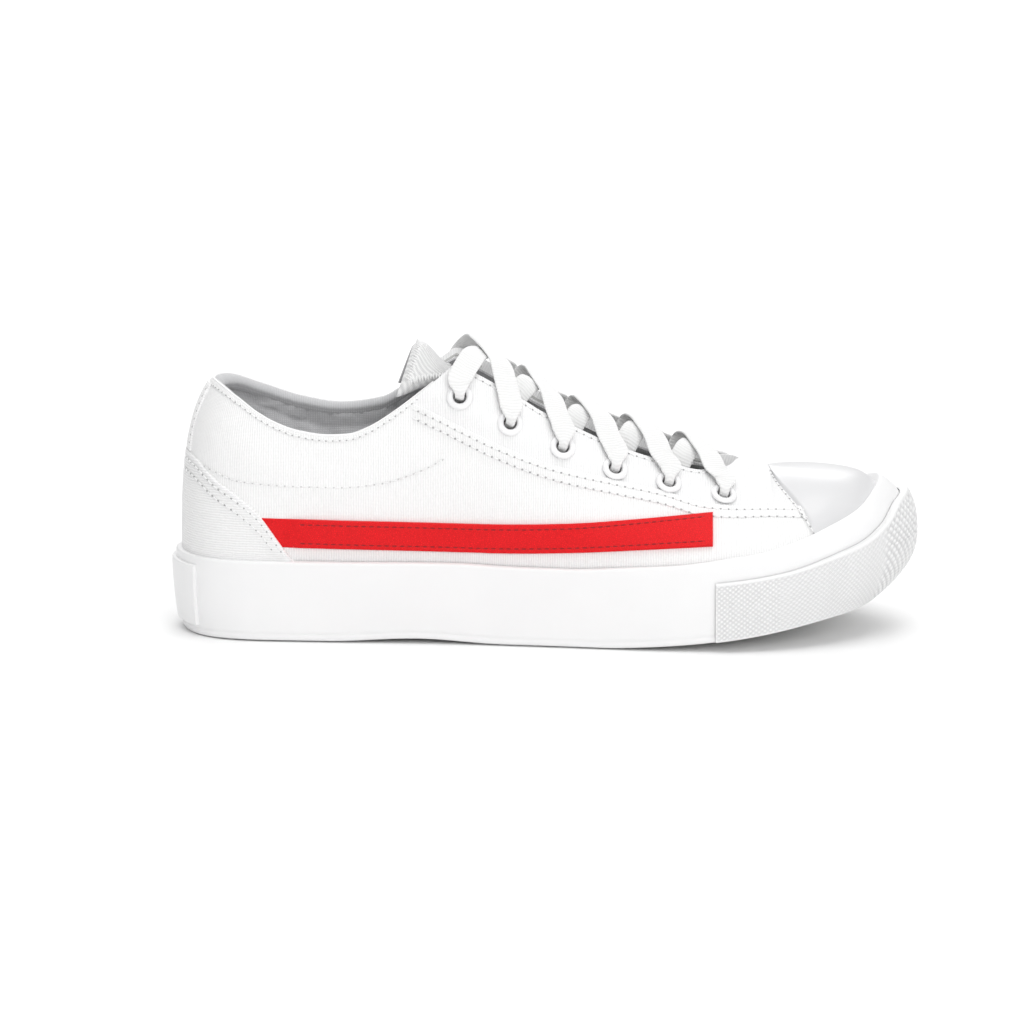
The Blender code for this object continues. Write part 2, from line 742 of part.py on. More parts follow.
def build_collar_binding():
    """Folded tape over the collar edge, open underneath."""
    places = heel_wrap(place_of_x(COLLAR_PAD_END_X * KX))
    outer = OVERLAY_IN + BINDING_THICKNESS
    inner = LINING_IN - LAYER_GAP - BINDING_THICKNESS
    roof = OVERLAY_GAP + BINDING_THICKNESS
    section = [
        (OVERLAY_IN, -BINDING_DEPTH), (outer, -BINDING_DEPTH), (outer, 0.2), (outer - 0.9, roof),
        (inner + 0.9, roof), (inner, 0.2), (inner, -BINDING_DEPTH), (inner + BINDING_THICKNESS, -BINDING_DEPTH),
        (inner + BINDING_THICKNESS, OVERLAY_GAP), (OVERLAY_IN, OVERLAY_GAP),
    ]
    points = []
    for side, place in places:
        t = top_edge(side, place)
        here = column(side, place)
        base = here.point(t)
        out = normal(side, place, t)
        rise = here.point(t + 0.004) - here.point(t - 0.004)
        rise /= np.linalg.norm(rise)
        for level, height in section:
            points.append(base + out * level + rise * height)
    size = len(section)
    faces = []
    for i in range(len(places) - 1):
        for j in range(size):
            k = (j + 1) % size
            faces.append([i * size + j, i * size + k, (i + 1) * size + k, (i + 1) * size + j])
    last = (len(places) - 1) * size
    for first in (0, last):
        faces.append([first, first + 1, first + 2, first + 9])
        faces.append([first + 2, first + 3, first + 4, first + 5, first + 8, first + 9])
        faces.append([first + 5, first + 6, first + 7, first + 8])
    place_object("collar_binding", points, faces, binding_tape())


def binding_tape():
    return material("binding_tape", (0.80, 0.80, 0.80), 0.5)


def build_stripes():
    half = STRIPE_WIDTH / 2.0

    def low(side, place):
        return column(side, place).at_curve(STRIPE_MIDDLE, -half)

    def high(side, place):
        return column(side, place).at_curve(STRIPE_MIDDLE, half)

    for side, label in ((-1, "lateral"), (1, "medial")):
        places = span(side, place_of_x(46.5 * KX), place_of_x(STRIPE_END_X))
        shell("side_stripe_" + label, places, low, high, OVERLAY_IN, OVERLAY_IN + STRIPE_THICKNESS, 2,
              red_leather())


# ---------------------------------------------------------------- rubber round the edge
def build_foxing():
    def low(side, place):
        here = column(side, place)
        return here.at_height(here.bottom + 0.8)

    def high(side, place):
        return column(side, place).at_curve(FOXING_TOP)

    shell("foxing_band", full_ring(), low, high, FOXING_OUT, FOXING_IN, 5, white_rubber(), ring=True)

    def bumper_low(side, place):
        here = column(side, place)
        return here.at_height(here.bottom + 1.2)

    def bumper_high(side, place):
        return column(side, place).at_curve(BUMPER_TOP)

    def bumper_out(side, place, t, share):
        grow = fade((place - place_of_x(BUMPER_REAR_X)) / 0.8)
        return BUMPER_IN + BUMPER_END_THICKNESS + (BUMPER_THICKNESS - BUMPER_END_THICKNESS) * grow

    places = toe_wrap(place_of_x(BUMPER_REAR_X))
    shell("toe_bumper", places, bumper_low, bumper_high, bumper_out, BUMPER_IN, 5, white_rubber())

    def patch_low(side, place):
        return column(side, place).at_height(5.0)

    def patch_high(side, place):
        return column(side, place).at_curve(FOXING_TOP, -2.5)

    shell("heel_patch", heel_wrap(0.42), patch_low, patch_high, BUMPER_IN + HEEL_PATCH_THICKNESS, BUMPER_IN,
          3, white_rubber())


# ---------------------------------------------------------------- plates under the foot
def plate(name, low_height, high_height, margin, rows, paint):
    """Flat layer over the sole bottom, filling the skin outline less a margin."""
    ring = full_ring()
    points = []
    for side, place in ring:
        here = column(side, place)
        for height in (low_height, high_height):
            x = here.rim_x
            for _ in range(6):
                t = here.at_height(SOLE_BOTTOM(x) + height)
                rim = here.radius_height(t)[0] - margin
                x = here.pole[0] + here.direction[0] * rim
            for j in range(rows + 1):
                r = rim * (1.0 - j / rows)
                xy = here.pole + here.direction * r
                points.append([xy[0], xy[1], SOLE_BOTTOM(xy[0]) + height])
    count = len(ring)
    stride = 2 * (rows + 1)
    faces = []
    for i in range(count):
        a = i * stride
        b = ((i + 1) % count) * stride
        for layer in (0, rows + 1):
            for j in range(rows):
                faces.append([a + layer + j, b + layer + j, b + layer + j + 1, a + layer + j + 1])
        faces.append([a, b, b + rows + 1, a + rows + 1])
    return place_object(name, points, faces, paint)


def pad(name, first_x, last_x, half_width, low_height, high_height, grow, paint, centre):
    """Rounded pad following the sole bottom."""
    stations = 11
    across = 4
    points = []
    length = last_x - first_x + 2.0 * grow
    for i in range(stations):
        angle = pi * (0.04 + 0.92 * i / (stations - 1))
        x = first_x - grow + length * (1.0 - cos(angle)) / 2.0
        share = min(1.0, 1.35 * sin(angle) ** 0.6)
        half = (half_width + grow) * share
        for j in range(across + 1):
            y = centre(x) + half * (2.0 * j / across - 1.0)
            points.append([x, y, SOLE_BOTTOM(x) + low_height])
            points.append([x, y, SOLE_BOTTOM(x) + high_height])
    stride = 2 * (across + 1)
    faces = []
    for i in range(stations - 1):
        for j in range(across):
            a = i * stride + 2 * j
            b = a + stride
            faces.append([a, a + 2, b + 2, b])
            faces.append([a + 1, b + 1, b + 3, a + 3])
        for j in (0, across):
            a = i * stride + 2 * j
            faces.append([a, a + stride, a + stride + 1, a + 1])
    for i in (0, stations - 1):
        for j in range(across):
            a = i * stride + 2 * j
            faces.append([a, a + 2, a + 3, a + 1])
    return place_object(name, points, faces, paint)


def cut(target, cutter):
    """Take the cutter's shape out of the target for good."""
    modifier = target.modifiers.new("cut", "BOOLEAN")
    modifier.operation = "DIFFERENCE"
    modifier.solver = "EXACT"
    modifier.object = cutter
    graph = bpy.context.evaluated_depsgraph_get()
    mesh = bpy.data.meshes.new_from_object(target.evaluated_get(graph))
    target.modifiers.clear()
    old = target.data
    target.data = mesh
    bpy.data.meshes.remove(old)
    mesh.name = target.name
    bpy.data.objects.remove(cutter)


def build_sole():
    outsole = plate("outsole", 0.0, OUTSOLE_THICKNESS, LAYER_GAP, 2, white_rubber())
    pads = (
        ("slide_pad", 150.0, 246.0, 31.0, pad_fabric()),
        ("heel_brake_pad", 12.0, 72.0, 21.0, white_rubber()),
    )
    for name, first, last, half, paint in pads:
        def centre(x):
            return CENTRE_LINE(x) - 1.0

        size = (first * KX, last * KX, half * KY)
        cutter = pad("cutter", *size, -2.0, PAD_THICKNESS + CLEARANCE, CLEARANCE, paint, centre)
        cut(outsole, cutter)
        pad(name, *size, 0.0, PAD_THICKNESS, 0.0, paint, centre)
    outsole.data.shade_smooth()
    outsole.data.set_sharp_from_angle(angle=radians(35.0))
    inside = (-LINING_IN + LAYER_GAP) * 1.15
    low = OUTSOLE_THICKNESS + PLATE_GAP
    plate("midsole_filler", low, low + FILLER_THICKNESS, inside, 2, foam())
    low += FILLER_THICKNESS + PLATE_GAP
    plate("insole_board", low, low + INSOLE_BOARD_THICKNESS, inside, 2, fibreboard())
    low += INSOLE_BOARD_THICKNESS + PLATE_GAP
    plate("sockliner", low, low + SOCKLINER_THICKNESS, inside + 0.4, 2, lining_cloth())


# ---------------------------------------------------------------- eyelets
def eyelet_radius(k):
    """Distance of an eyelet from the centre line."""
    return (26.0 + 2.0 * min(k / 2.0, 1.0)) * KY


def eyelet_frame(side, k):
    """Centre on the canvas face, outward normal, direction towards the throat, and along the shoe."""
    place = place_of_x(EYELET_X[k] * KX)
    here = column(side, place)
    t = here.at_radius(eyelet_radius(k))
    centre = here.point(t)
    out = normal(side, place, t)
    along = np.array([1.0, 0.0, 0.0])
    along = along - out * float(along @ out)
    along /= np.linalg.norm(along)
    inward = np.cross(along, out)
    inward *= 1.0 if inward[1] * -side > 0.0 else -1.0
    return centre, out, inward, along


def lathe(name, frame, section, facets, paint):
    """Ring with a closed section of (radius, level) turned about the eyelet axis."""
    centre, out, inward, along = frame
    points = []
    for i in range(facets):
        angle = 2.0 * pi * i / facets
        direction = inward * cos(angle) + along * sin(angle)
        for radius, level in section:
            points.append(centre + direction * radius + out * level)
    size = len(section)
    faces = []
    for i in range(facets):
        k = (i + 1) % facets
        for j in range(size):
            m = (j + 1) % size
            faces.append([i * size + j, i * size + m, k * size + m, k * size + j])
    return place_object(name, points, faces, paint)


FLANGE_LOW = OVERLAY_OUT + CLEARANCE
FLANGE_HIGH = FLANGE_LOW + EYELET_FLANGE_THICKNESS
ROLL_HIGH = LINING_IN - 1.55
ROLL_LOW = ROLL_HIGH - EYELET_FLANGE_THICKNESS
HOLE_RADIUS = EYELET_BORE_RADIUS + EYELET_WALL + CLEARANCE


def build_eyelets():
    bore = EYELET_BORE_RADIUS
    wall = bore + EYELET_WALL
    section = [
        (bore, ROLL_LOW), (bore, FLANGE_HIGH), (EYELET_FLANGE_RADIUS - 0.3, FLANGE_HIGH),
        (EYELET_FLANGE_RADIUS, FLANGE_LOW), (wall, FLANGE_LOW), (wall, ROLL_HIGH),
        (EYELET_ROLL_RADIUS, ROLL_HIGH), (EYELET_ROLL_RADIUS, ROLL_LOW),
    ]
    for side, label in ((-1, "lateral"), (1, "medial")):
        for k in range(len(EYELET_X)):
            lathe("eyelet_%s_%d" % (label, k + 1), eyelet_frame(side, k), section, 9, metal_white())


def hole_cutters(side):
    """One mesh holding every lace hole of a side."""
    facets = 10
    points = []
    faces = []
    for k in range(len(EYELET_X)):
        centre, out, inward, along = eyelet_frame(side, k)
        start = len(points)
        for level in (-8.0, 4.0):
            for i in range(facets):
                angle = 2.0 * pi * i / facets
                direction = inward * cos(angle) + along * sin(angle)
                points.append(centre + direction * HOLE_RADIUS + out * level)
        low = list(range(start, start + facets))
        high = [i + facets for i in low]
        faces.append(low[::-1])
        faces.append(high)
        for i in range(facets):
            j = (i + 1) % facets
            faces.append([low[i], low[j], high[j], high[i]])
    return place_object("cutter", points, faces, metal_white())


def punch_lace_holes():
    pieces = (
        ("eyestay_lateral", -1), ("eyestay_medial", 1), ("quarter_lateral", -1), ("quarter_medial", 1),
        ("eyelet_facing_lateral", -1), ("eyelet_facing_medial", 1), ("quarter_lining", -1), ("quarter_lining", 1),
        ("vamp_lining", -1), ("vamp_lining", 1), ("vamp", -1), ("vamp", 1),
    )
    for name, side in pieces:
        target = bpy.data.objects[name]
        cut(target, hole_cutters(side))
        target.data.shade_smooth()
        target.data.set_sharp_from_angle(angle=radians(35.0))


# ---------------------------------------------------------------- tongue
TONGUE_HALF_WIDTH = monotone(
    [(90, 18.0), (97, 18.0), (103, 18.6), (112, 21.5), (125, 25), (170, 25), (200, 22), (230, 20)], KX, KY)
TONGUE_RISE_X = 219.0
TONGUE_RISE_LENGTH = 9.0
TONGUE_BACK_SLOPE = 0.45
TONGUE_EDGE_NARROWING = 0.03
TONGUE_END_DEPTH = np.array([-0.5, 0.0, -0.8])


def tongue_level(x):
    """The root rises to the underside of the vamp."""
    rise = fade((x - TONGUE_RISE_X * KX) / (TONGUE_RISE_LENGTH * KX))
    return TONGUE_TOP + (LINING_IN - LAYER_GAP - TONGUE_TOP) * rise


def tongue_point(x, share, depth):
    """Point of the tongue at a share (-1..1) across its width and a depth under its face."""
    y_from_centre = share * TONGUE_HALF_WIDTH(x)
    side = -1 if y_from_centre < 0.0 else 1
    body_x = max(x, TONGUE_FLARE_X * KX)
    place = min(place_of_x(body_x), 2.0)
    here = column(side, place)
    t = here.at_radius(abs(y_from_centre))
    base = here.point(t) + normal(side, place, t) * (tongue_level(x) - depth)
    if x > TOE_POLE_X * KX:
        base[0] += x - TOE_POLE_X * KX
    if x < TONGUE_FLARE_X * KX:
        mix = fade((TONGUE_FLARE_X * KX - x) / ((TONGUE_FLARE_X - TONGUE_END_X) * KX))
        end_x = x - TONGUE_END_SWEEP * KX * share * share
        end_y = CENTRE_LINE(x) + y_from_centre * (1.0 - TONGUE_EDGE_NARROWING * depth)
        end_z = (TONGUE_END_HEIGHT - TONGUE_END_ARCH * share * share) * KZ
        end = np.array([end_x, end_y, end_z]) + TONGUE_END_DEPTH * depth
        body = base + np.array([x - body_x, 0.0, (body_x - x) * TONGUE_BACK_SLOPE])
        base = body + (end - body) * mix
    return base


def build_tongue():
    foam_top = TONGUE_FACE_THICKNESS + OVERLAY_GAP
    lining_top = foam_top + TONGUE_FOAM_THICKNESS + OVERLAY_GAP
    layers = (
        ("tongue_face", 0.0, TONGUE_FACE_THICKNESS, canvas()),
        ("tongue_foam", foam_top, foam_top + TONGUE_FOAM_THICKNESS, foam()),
        ("tongue_lining", lining_top, lining_top + TONGUE_FACE_THICKNESS, lining_cloth()),
    )
    xs = list(np.linspace(TONGUE_END_X * KX, 112.0 * KX, 8)) + list(np.linspace(122.0 * KX, TONGUE_ROOT_X * KX, 9))
    across = 6
    for name, top, bottom, paint in layers:
        points = []
        for x in xs:
            for j in range(across + 1):
                share = 2.0 * j / across - 1.0
                for depth in (top, bottom):
                    points.append(tongue_point(x, share, depth))
        stride = 2 * (across + 1)
        faces = []
        for i in range(len(xs) - 1):
            for j in range(across):
                a = i * stride + 2 * j
                b = a + stride
                faces.append([a, a + 2, b + 2, b])
                faces.append([a + 1, b + 1, b + 3, a + 3])
            for j in (0, across):
                a = i * stride + 2 * j
                faces.append([a, a + stride, a + stride + 1, a + 1])
        for i in (0, len(xs) - 1):
            for j in range(across):
                a = i * stride + 2 * j
                faces.append([a, a + 2, a + 3, a + 1])
        place_object(name, points, faces, paint)


# ---------------------------------------------------------------- lace
LACE_RIDE = FLANGE_HIGH + 1.25
LACE_UNDER = ROLL_LOW - 1.35
LACE_OVER_CENTRE = 3.1
LACE_LOW_CENTRE = 1.1
LACE_DIP = -3.6


def eyelet_path(side, k):
    """Lace points from under the facing, up through an eyelet, and back towards the throat."""
    centre, out, inward, along = eyelet_frame(side, k)
    steps = [
        (6.0, LACE_UNDER, 0.0), (3.4, LACE_UNDER, 0.45), (1.2, LACE_UNDER + 0.1, 0.9), (0.1, LACE_UNDER + 1.2, 1.0),
        (0.0, -2.4, 1.0), (0.0, 0.0, 1.0), (0.1, LACE_RIDE - 1.1, 1.0), (1.2, LACE_RIDE, 0.9),
        (3.4, LACE_RIDE, 0.45), (6.5, LACE_RIDE, 0.0),
    ]
    return [(centre + inward * d + out * level, bunch) for d, level, bunch in steps]


def over_skin(x, y_from_centre, level):
    side = -1 if y_from_centre < 0.0 else 1
    place = place_of_x(x)
    t = column(side, place).at_radius(abs(y_from_centre))
    return skin(side, place, t, level)


def crossing(side, k, over):
    """Lace from the top of eyelet k on one side to eyelet k - 1 on the other side.

    It dips below the far facing, except on the last crossing, which stays on top.
    """
    x0 = EYELET_X[k] * KX
    x1 = EYELET_X[k - 1] * KX
    middle = LACE_OVER_CENTRE if over else LACE_LOW_CENTRE
    reach = eyelet_radius(k) + eyelet_radius(k - 1)
    start = eyelet_radius(k) - 9.0
    edge = throat_half_width(x0)
    inner = 0.325 * edge
    outer = 0.625 * edge
    levels = [(-start, LACE_RIDE - 0.2), (-outer, middle + 0.4), (-inner, middle), (0.0, middle), (inner, middle)]
    if k == 1:
        levels += [(outer, middle + 0.4), (eyelet_radius(0) - 9.0, LACE_RIDE - 0.2)]
    else:
        levels += [(0.5 * edge, middle - 1.4), (0.665 * edge, LACE_DIP), (0.8 * edge, LACE_UNDER + 0.5)]
    out = []
    for y, level in levels:
        share = (y + eyelet_radius(k)) / reach
        out.append((over_skin(x0 + (x1 - x0) * share, -side * y, level), 0.0))
    return out


def lace_path():
    last = len(EYELET_X) - 1
    halves = []
    for side in (-1, 1):
        here = side
        run = eyelet_path(here, last)
        for k in range(last, 0, -1):
            run += crossing(here, k, here < 0)
            here = -here
            run += eyelet_path(here, k - 1) if k > 1 else tuck_in(here)
        halves.append(run)
    x = EYELET_X[last] * KX
    bar = [(over_skin(x, y * KY, LACE_UNDER), 0.0) for y in (-13.0, -6.0, 0.0, 6.0, 13.0)]
    return list(reversed(halves[0])) + bar + halves[1]


def tuck_in(side):
    """Down through the top eyelet, then along the inside of the quarter."""
    centre, out, inward, along = eyelet_frame(side, 0)
    steps = [
        (6.5, LACE_RIDE, 0.0), (3.4, LACE_RIDE, 0.45), (1.2, LACE_RIDE, 0.9), (0.1, LACE_RIDE - 1.1, 1.0),
        (0.0, 0.0, 1.0), (0.0, -2.4, 1.0), (-0.1, LACE_UNDER + 1.2, 1.0), (-1.2, LACE_UNDER + 0.1, 0.9),
        (-3.4, LACE_UNDER, 0.45),
    ]
    path = [(centre + inward * d + out * level, bunch) for d, level, bunch in steps]
    for x, height in ((112, 84), (115, 78), (120, 72), (127, 67)):
        path.append((inside_wall(side, x * KX, height * KZ, LACE_UNDER), 0.0))
    return path


def inside_wall(side, x, height, level):
    place = place_of_x(x)
    t = column(side, place).at_height(height)
    return skin(side, place, t, level)


def smooth_path(path, steps):
    pts = np.array([p for p, _ in path])
    grip = np.array([b for _, b in path])
    rows = np.concatenate([pts, grip[:, None]], axis=1)
    rows = np.concatenate([2 * rows[:1] - rows[1:2], rows, 2 * rows[-1:] - rows[-2:-1]])
    out = []
    for i in range(1, len(rows) - 2):
        p0, p1, p2, p3 = rows[i - 1:i + 3]
        gaps = [max(np.linalg.norm((b - a)[:3]), 1e-6) ** 0.5 for a, b in ((p0, p1), (p1, p2), (p2, p3))]
        m1 = (p1 - p0) / gaps[0] - (p2 - p0) / (gaps[0] + gaps[1]) + (p2 - p1) / gaps[1]
        m2 = (p2 - p1) / gaps[1] - (p3 - p1) / (gaps[1] + gaps[2]) + (p3 - p2) / gaps[2]
        m1 = m1 * gaps[1]
        m2 = m2 * gaps[1]
        for j in range(steps):
            u = j / steps
            out.append((2 * u ** 3 - 3 * u * u + 1) * p1 + (u ** 3 - 2 * u * u + u) * m1
                       + (3 * u * u - 2 * u ** 3) * p2 + (u ** 3 - u * u) * m2)
    out.append(rows[-2])
    return np.array(out)


def build_lace():
    rows = smooth_path(lace_path(), 1)
    centres = rows[:, :3]
    bunch = np.clip(rows[:, 3], 0.0, 1.0)
    along = np.gradient(centres, axis=0)
    along /= np.linalg.norm(along, axis=1)[:, None]
    points = []
    for centre, tangent, grip in zip(centres, along, bunch):
        wide = np.array([1.0, 0.0, 0.85 * (SPINE(centre[0] + 4.0) - SPINE(centre[0] - 4.0)) / 8.0])
        wide = wide - tangent * float(wide @ tangent)
        wide /= np.linalg.norm(wide)
        thick = np.cross(tangent, wide)
        half_w = (LACE_WIDTH + (LACE_BUNCHED_WIDTH - LACE_WIDTH) * grip) / 2.0
        half_t = (LACE_THICKNESS + (LACE_BUNCHED_THICKNESS - LACE_THICKNESS) * grip) / 2.0
        for a, b in ((-1.0, -1.0), (1.0, -1.0), (1.0, 1.0), (-1.0, 1.0)):
            points.append(centre + wide * half_w * a + thick * half_t * b)
    size = 4
    faces = []
    for i in range(len(centres) - 1):
        for j in range(size):
            k = (j + 1) % size
            faces.append([i * size + j, i * size + k, (i + 1) * size + k, (i + 1) * size + j])
    last = (len(centres) - 1) * size
    faces.append(list(range(size)))
    faces.append([last + j for j in range(size)])
    place_object("lace", points, faces, lace_cotton())
    for label, end, before in (("lateral", 0, 1), ("medial", -1, -2)):
        tip = centres[end]
        heading = tip - centres[before]
        heading /= np.linalg.norm(heading)
        build_aglet("aglet_" + label, tip + heading * CLEARANCE, heading)


def build_aglet(name, start, heading):
    side = np.cross(heading, np.array([0.0, 0.0, 1.0]))
    side /= np.linalg.norm(side)
    other = np.cross(heading, side)
    points = []
    facets = 10
    profile = ((0.0, 0.9), (0.5, 1.0), (AGLET_LENGTH - 2.0, 1.0), (AGLET_LENGTH, 0.5))
    for distance, scale in profile:
        for i in range(facets):
            angle = 2.0 * pi * i / facets
            ring = side * cos(angle) * AGLET_RADIUS * scale + other * sin(angle) * AGLET_RADIUS * 0.7 * scale
            points.append(start + heading * distance + ring)
    faces = [list(range(facets))]
    for i in range(len(profile) - 1):
        for j in range(facets):
            k = (j + 1) % facets
            faces.append([i * facets + j, i * facets + k, (i + 1) * facets + k, (i + 1) * facets + j])
    faces.append([(len(profile) - 1) * facets + j for j in range(facets)])
    place_object(name, points, faces, metal_white())


def centre_on_floor():
    """Put the middle of the whole shoe over the origin, with its sole on Z = 0."""
    corners = np.array([v.co for thing in bpy.data.objects for v in thing.data.vertices])
    low = corners.min(axis=0)
    high = corners.max(axis=0)
    shift = Matrix.Translation((-(low[0] + high[0]) / 2.0, -(low[1] + high[1]) / 2.0, -low[2]))
    for thing in bpy.data.objects:
        thing.data.transform(shift)


def build_shoe():
    for thing in list(bpy.data.objects):
        bpy.data.objects.remove(thing)
    build_quarters()
    build_vamp()
    build_toe()
    build_eyestays()
    build_heel_pieces()
    build_collar_binding()
    build_stripes()
    build_foxing()
    build_sole()
    build_eyelets()
    punch_lace_holes()
    build_tongue()
    build_lace()
    centre_on_floor()


build_shoe()
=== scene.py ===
"""Looks of the low lace-up bowling shoe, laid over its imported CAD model.

Every visible piece is a finer mesh on the same skin as its CAD solid. Lengths are in
millimetres along the pattern and are turned into metres when a mesh is made.
"""
import bpy
import bmesh
import numpy as np
from math import cos, pi, radians, sin, sqrt
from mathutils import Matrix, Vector
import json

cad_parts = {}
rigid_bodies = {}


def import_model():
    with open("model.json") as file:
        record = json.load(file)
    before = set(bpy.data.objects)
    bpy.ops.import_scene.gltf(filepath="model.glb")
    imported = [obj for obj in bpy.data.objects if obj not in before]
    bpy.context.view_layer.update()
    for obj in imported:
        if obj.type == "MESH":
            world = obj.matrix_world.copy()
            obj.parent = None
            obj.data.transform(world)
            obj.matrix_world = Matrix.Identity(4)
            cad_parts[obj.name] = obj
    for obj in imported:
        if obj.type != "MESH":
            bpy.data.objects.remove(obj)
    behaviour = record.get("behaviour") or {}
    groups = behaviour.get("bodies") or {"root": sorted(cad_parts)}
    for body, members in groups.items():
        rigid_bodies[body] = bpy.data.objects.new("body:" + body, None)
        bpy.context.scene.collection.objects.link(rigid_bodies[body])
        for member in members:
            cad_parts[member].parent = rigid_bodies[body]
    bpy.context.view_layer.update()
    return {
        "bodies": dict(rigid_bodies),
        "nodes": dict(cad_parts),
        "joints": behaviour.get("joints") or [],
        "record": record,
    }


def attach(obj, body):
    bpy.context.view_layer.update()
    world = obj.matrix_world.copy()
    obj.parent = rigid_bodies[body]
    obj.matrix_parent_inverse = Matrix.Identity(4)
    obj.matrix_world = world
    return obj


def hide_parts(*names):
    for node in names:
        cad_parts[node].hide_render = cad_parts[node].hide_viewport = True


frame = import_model()

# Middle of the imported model, in the millimetres of the pattern.
CENTRE_X = 143.5 - 0.2909
CENTRE_Y = -2.2719

# ---------------------------------------------------------------- levels above the canvas face
CANVAS_THICKNESS = 1.2
OVERLAY_IN = 0.5
STRIPE_OUT = 1.7
TOE_CAP_OUT = 1.8
LINING_OUT = -3.8
LINING_IN = -4.6
GRIP_OUT = -5.4
GRIP_IN = -6.2
FOAM_BULGE = 4.0
FOXING_IN = 0.5
FOXING_OUT = 3.5
BUMPER_IN = 4.1
BUMPER_END = 1.4
BUMPER_FULL = 3.0
BINDING_DEPTH = 4.0
TONGUE_TOP = -10.3
ROLL_HIGH = -6.15
LACE_RIDE = 3.55
LACE_UNDER = -8.1

HEEL_POLE_X = 38.0
TOE_POLE_X = 229.0
THROAT_HALF = 20.0
THROAT_FRONT_X = 216.0
THROAT_CORNER_X = 109.0
COLLAR_PAD_END_X = 98.86
EYELET_X = [110.8, 129.6, 149.4, 169.2, 189.6, 210.4]
BUMPER_REAR_X = 207.0
EYELET_BORE = 2.5


def fade(value):
    """Smooth step from 0 to 1; takes numbers and arrays."""
    value = np.clip(value, 0.0, 1.0)
    return value * value * (3.0 - 2.0 * value)


def monotone(points):
    """Smooth curve through the points, never overshooting them; takes arrays."""
    xs = np.array([p[0] for p in points], dtype=float)
    ys = np.array([p[1] for p in points], dtype=float)
    steps = np.diff(xs)
    slopes = np.diff(ys) / steps
    tangents = np.zeros(len(xs))
    for i in range(1, len(xs) - 1):
        if slopes[i - 1] * slopes[i] > 0.0:
            w_before = 2.0 * steps[i] + steps[i - 1]
            w_after = steps[i] + 2.0 * steps[i - 1]
            tangents[i] = (w_before + w_after) / (w_before / slopes[i - 1] + w_after / slopes[i])
    tangents[0] = slopes[0]
    tangents[-1] = slopes[-1]

    def value(x):
        x = np.clip(x, xs[0], xs[-1])
        i = np.clip(np.searchsorted(xs, x, side="right") - 1, 0, len(xs) - 2)
        u = (x - xs[i]) / steps[i]
        return (ys[i] * (1.0 + 2.0 * u) * (1.0 - u) ** 2 + tangents[i] * steps[i] * u * (1.0 - u) ** 2
                + ys[i + 1] * u * u * (3.0 - 2.0 * u) + tangents[i + 1] * steps[i] * u * u * (u - 1.0))

    return value


SOLE_BOTTOM = monotone([(-5, 0), (60, 0), (95, 1.4), (128, 0), (166, 0), (180, 0.6), (195, 1.8), (211, 3.6),
                        (226, 6.2), (242, 9.7), (264, 15), (280, 21), (292, 26)])
WALL_TOP = monotone([(0, 28), (150, 28.5), (195, 31), (226, 34), (250, 35), (292, 35)])
FOXING_TOP = monotone([(0, 30.4), (150, 30.4), (172, 31.5), (195, 33), (211, 35), (226, 37), (241, 41),
                       (249, 44), (261, 49), (268.5, 54), (273, 56.5), (292, 58)])
BUMPER_TOP = monotone([(200, 26), (218, 28), (234, 30.7), (249, 35), (261, 38.7), (268, 43), (274, 48.5),
                       (292, 52)])
SPINE = monotone([(0, 104), (38, 104), (63, 105), (85, 108), (100, 111), (109, 111), (118, 107), (126, 103),
                  (134, 98), (141.5, 92.5), (151.5, 87), (165, 82), (184, 76), (203, 69.5), (216.5, 64.5),
                  (226, 61.4), (232, 60.6), (292, 60)])
CENTRE_LINE = monotone([(0, -1), (38, -1.5), (100, -4), (170, -3.2), (229, -1), (292, 5)])
FULLNESS = monotone([(0, 3.0), (63, 3.0), (110, 3.1), (130, 2.6), (150, 2.42), (170, 1.87), (191, 1.62),
                     (212, 1.55), (292, 1.55)])
COLLAR_LATERAL = monotone([(0, 97), (17.3, 96), (26.2, 91.7), (33.8, 86.6), (41.5, 82.6), (49.2, 80),
                           (60.8, 78.5), (68.5, 78.9), (76.2, 81.6), (83.8, 86.1), (97.3, 96), (109, 105)])
COLLAR_MEDIAL = monotone([(0, 97), (17.3, 96.5), (33.8, 90.3), (49.2, 84.8), (64.6, 82.3), (80, 84.2),
                          (87.7, 88.5), (97.3, 96), (109, 105)])
EYESTAY_LOW = monotone([(89, 93), (103, 87), (126, 76), (141.5, 70), (165, 63.6), (188, 58), (203, 53.6),
                        (218.5, 52), (235, 51.3), (250, 51.3)])
PADDING_LOW = monotone([(0, 70), (12.7, 67), (28, 62), (49, 60.7), (65, 60.5), (80, 62), (95, 66.7),
                        (111, 75.4)])
COUNTER_TOP = monotone([(0, 72), (10.8, 67.7), (18.5, 61), (26, 56), (34.6, 48.7), (41.5, 39.4), (48, 30)])
STRIPE_MIDDLE = monotone([(30, 42), (120, 41), (205, 45)])
TOE_TUCK = monotone([(0, 3.0), (30, 1.2), (200, 1.2), (250, 4.0), (280, 8.5), (292, 8.5)])
TONGUE_WIDTH = monotone([(90, 18.0), (97, 18.0), (103, 18.6), (112, 21.5), (125, 25), (170, 25), (200, 22),
                         (230, 20)])

# Outer edge of the foxing seen from above, from the heel round the lateral side.
OUTLINE = [
    (1.3, -1), (8, -21), (25, -32), (60, -36), (100, -38.5), (140, -44), (180, -50.5), (205, -52.5),
    (230, -50), (253, -40), (270, -25), (280, -8), (283.3, 6), (280, 19), (268, 31.5), (248, 41),
    (225, 46), (200, 48),
    (170, 44.5), (135, 36), (100, 31), (70, 31.5), (40, 32), (20, 26.5), (7, 15),
]


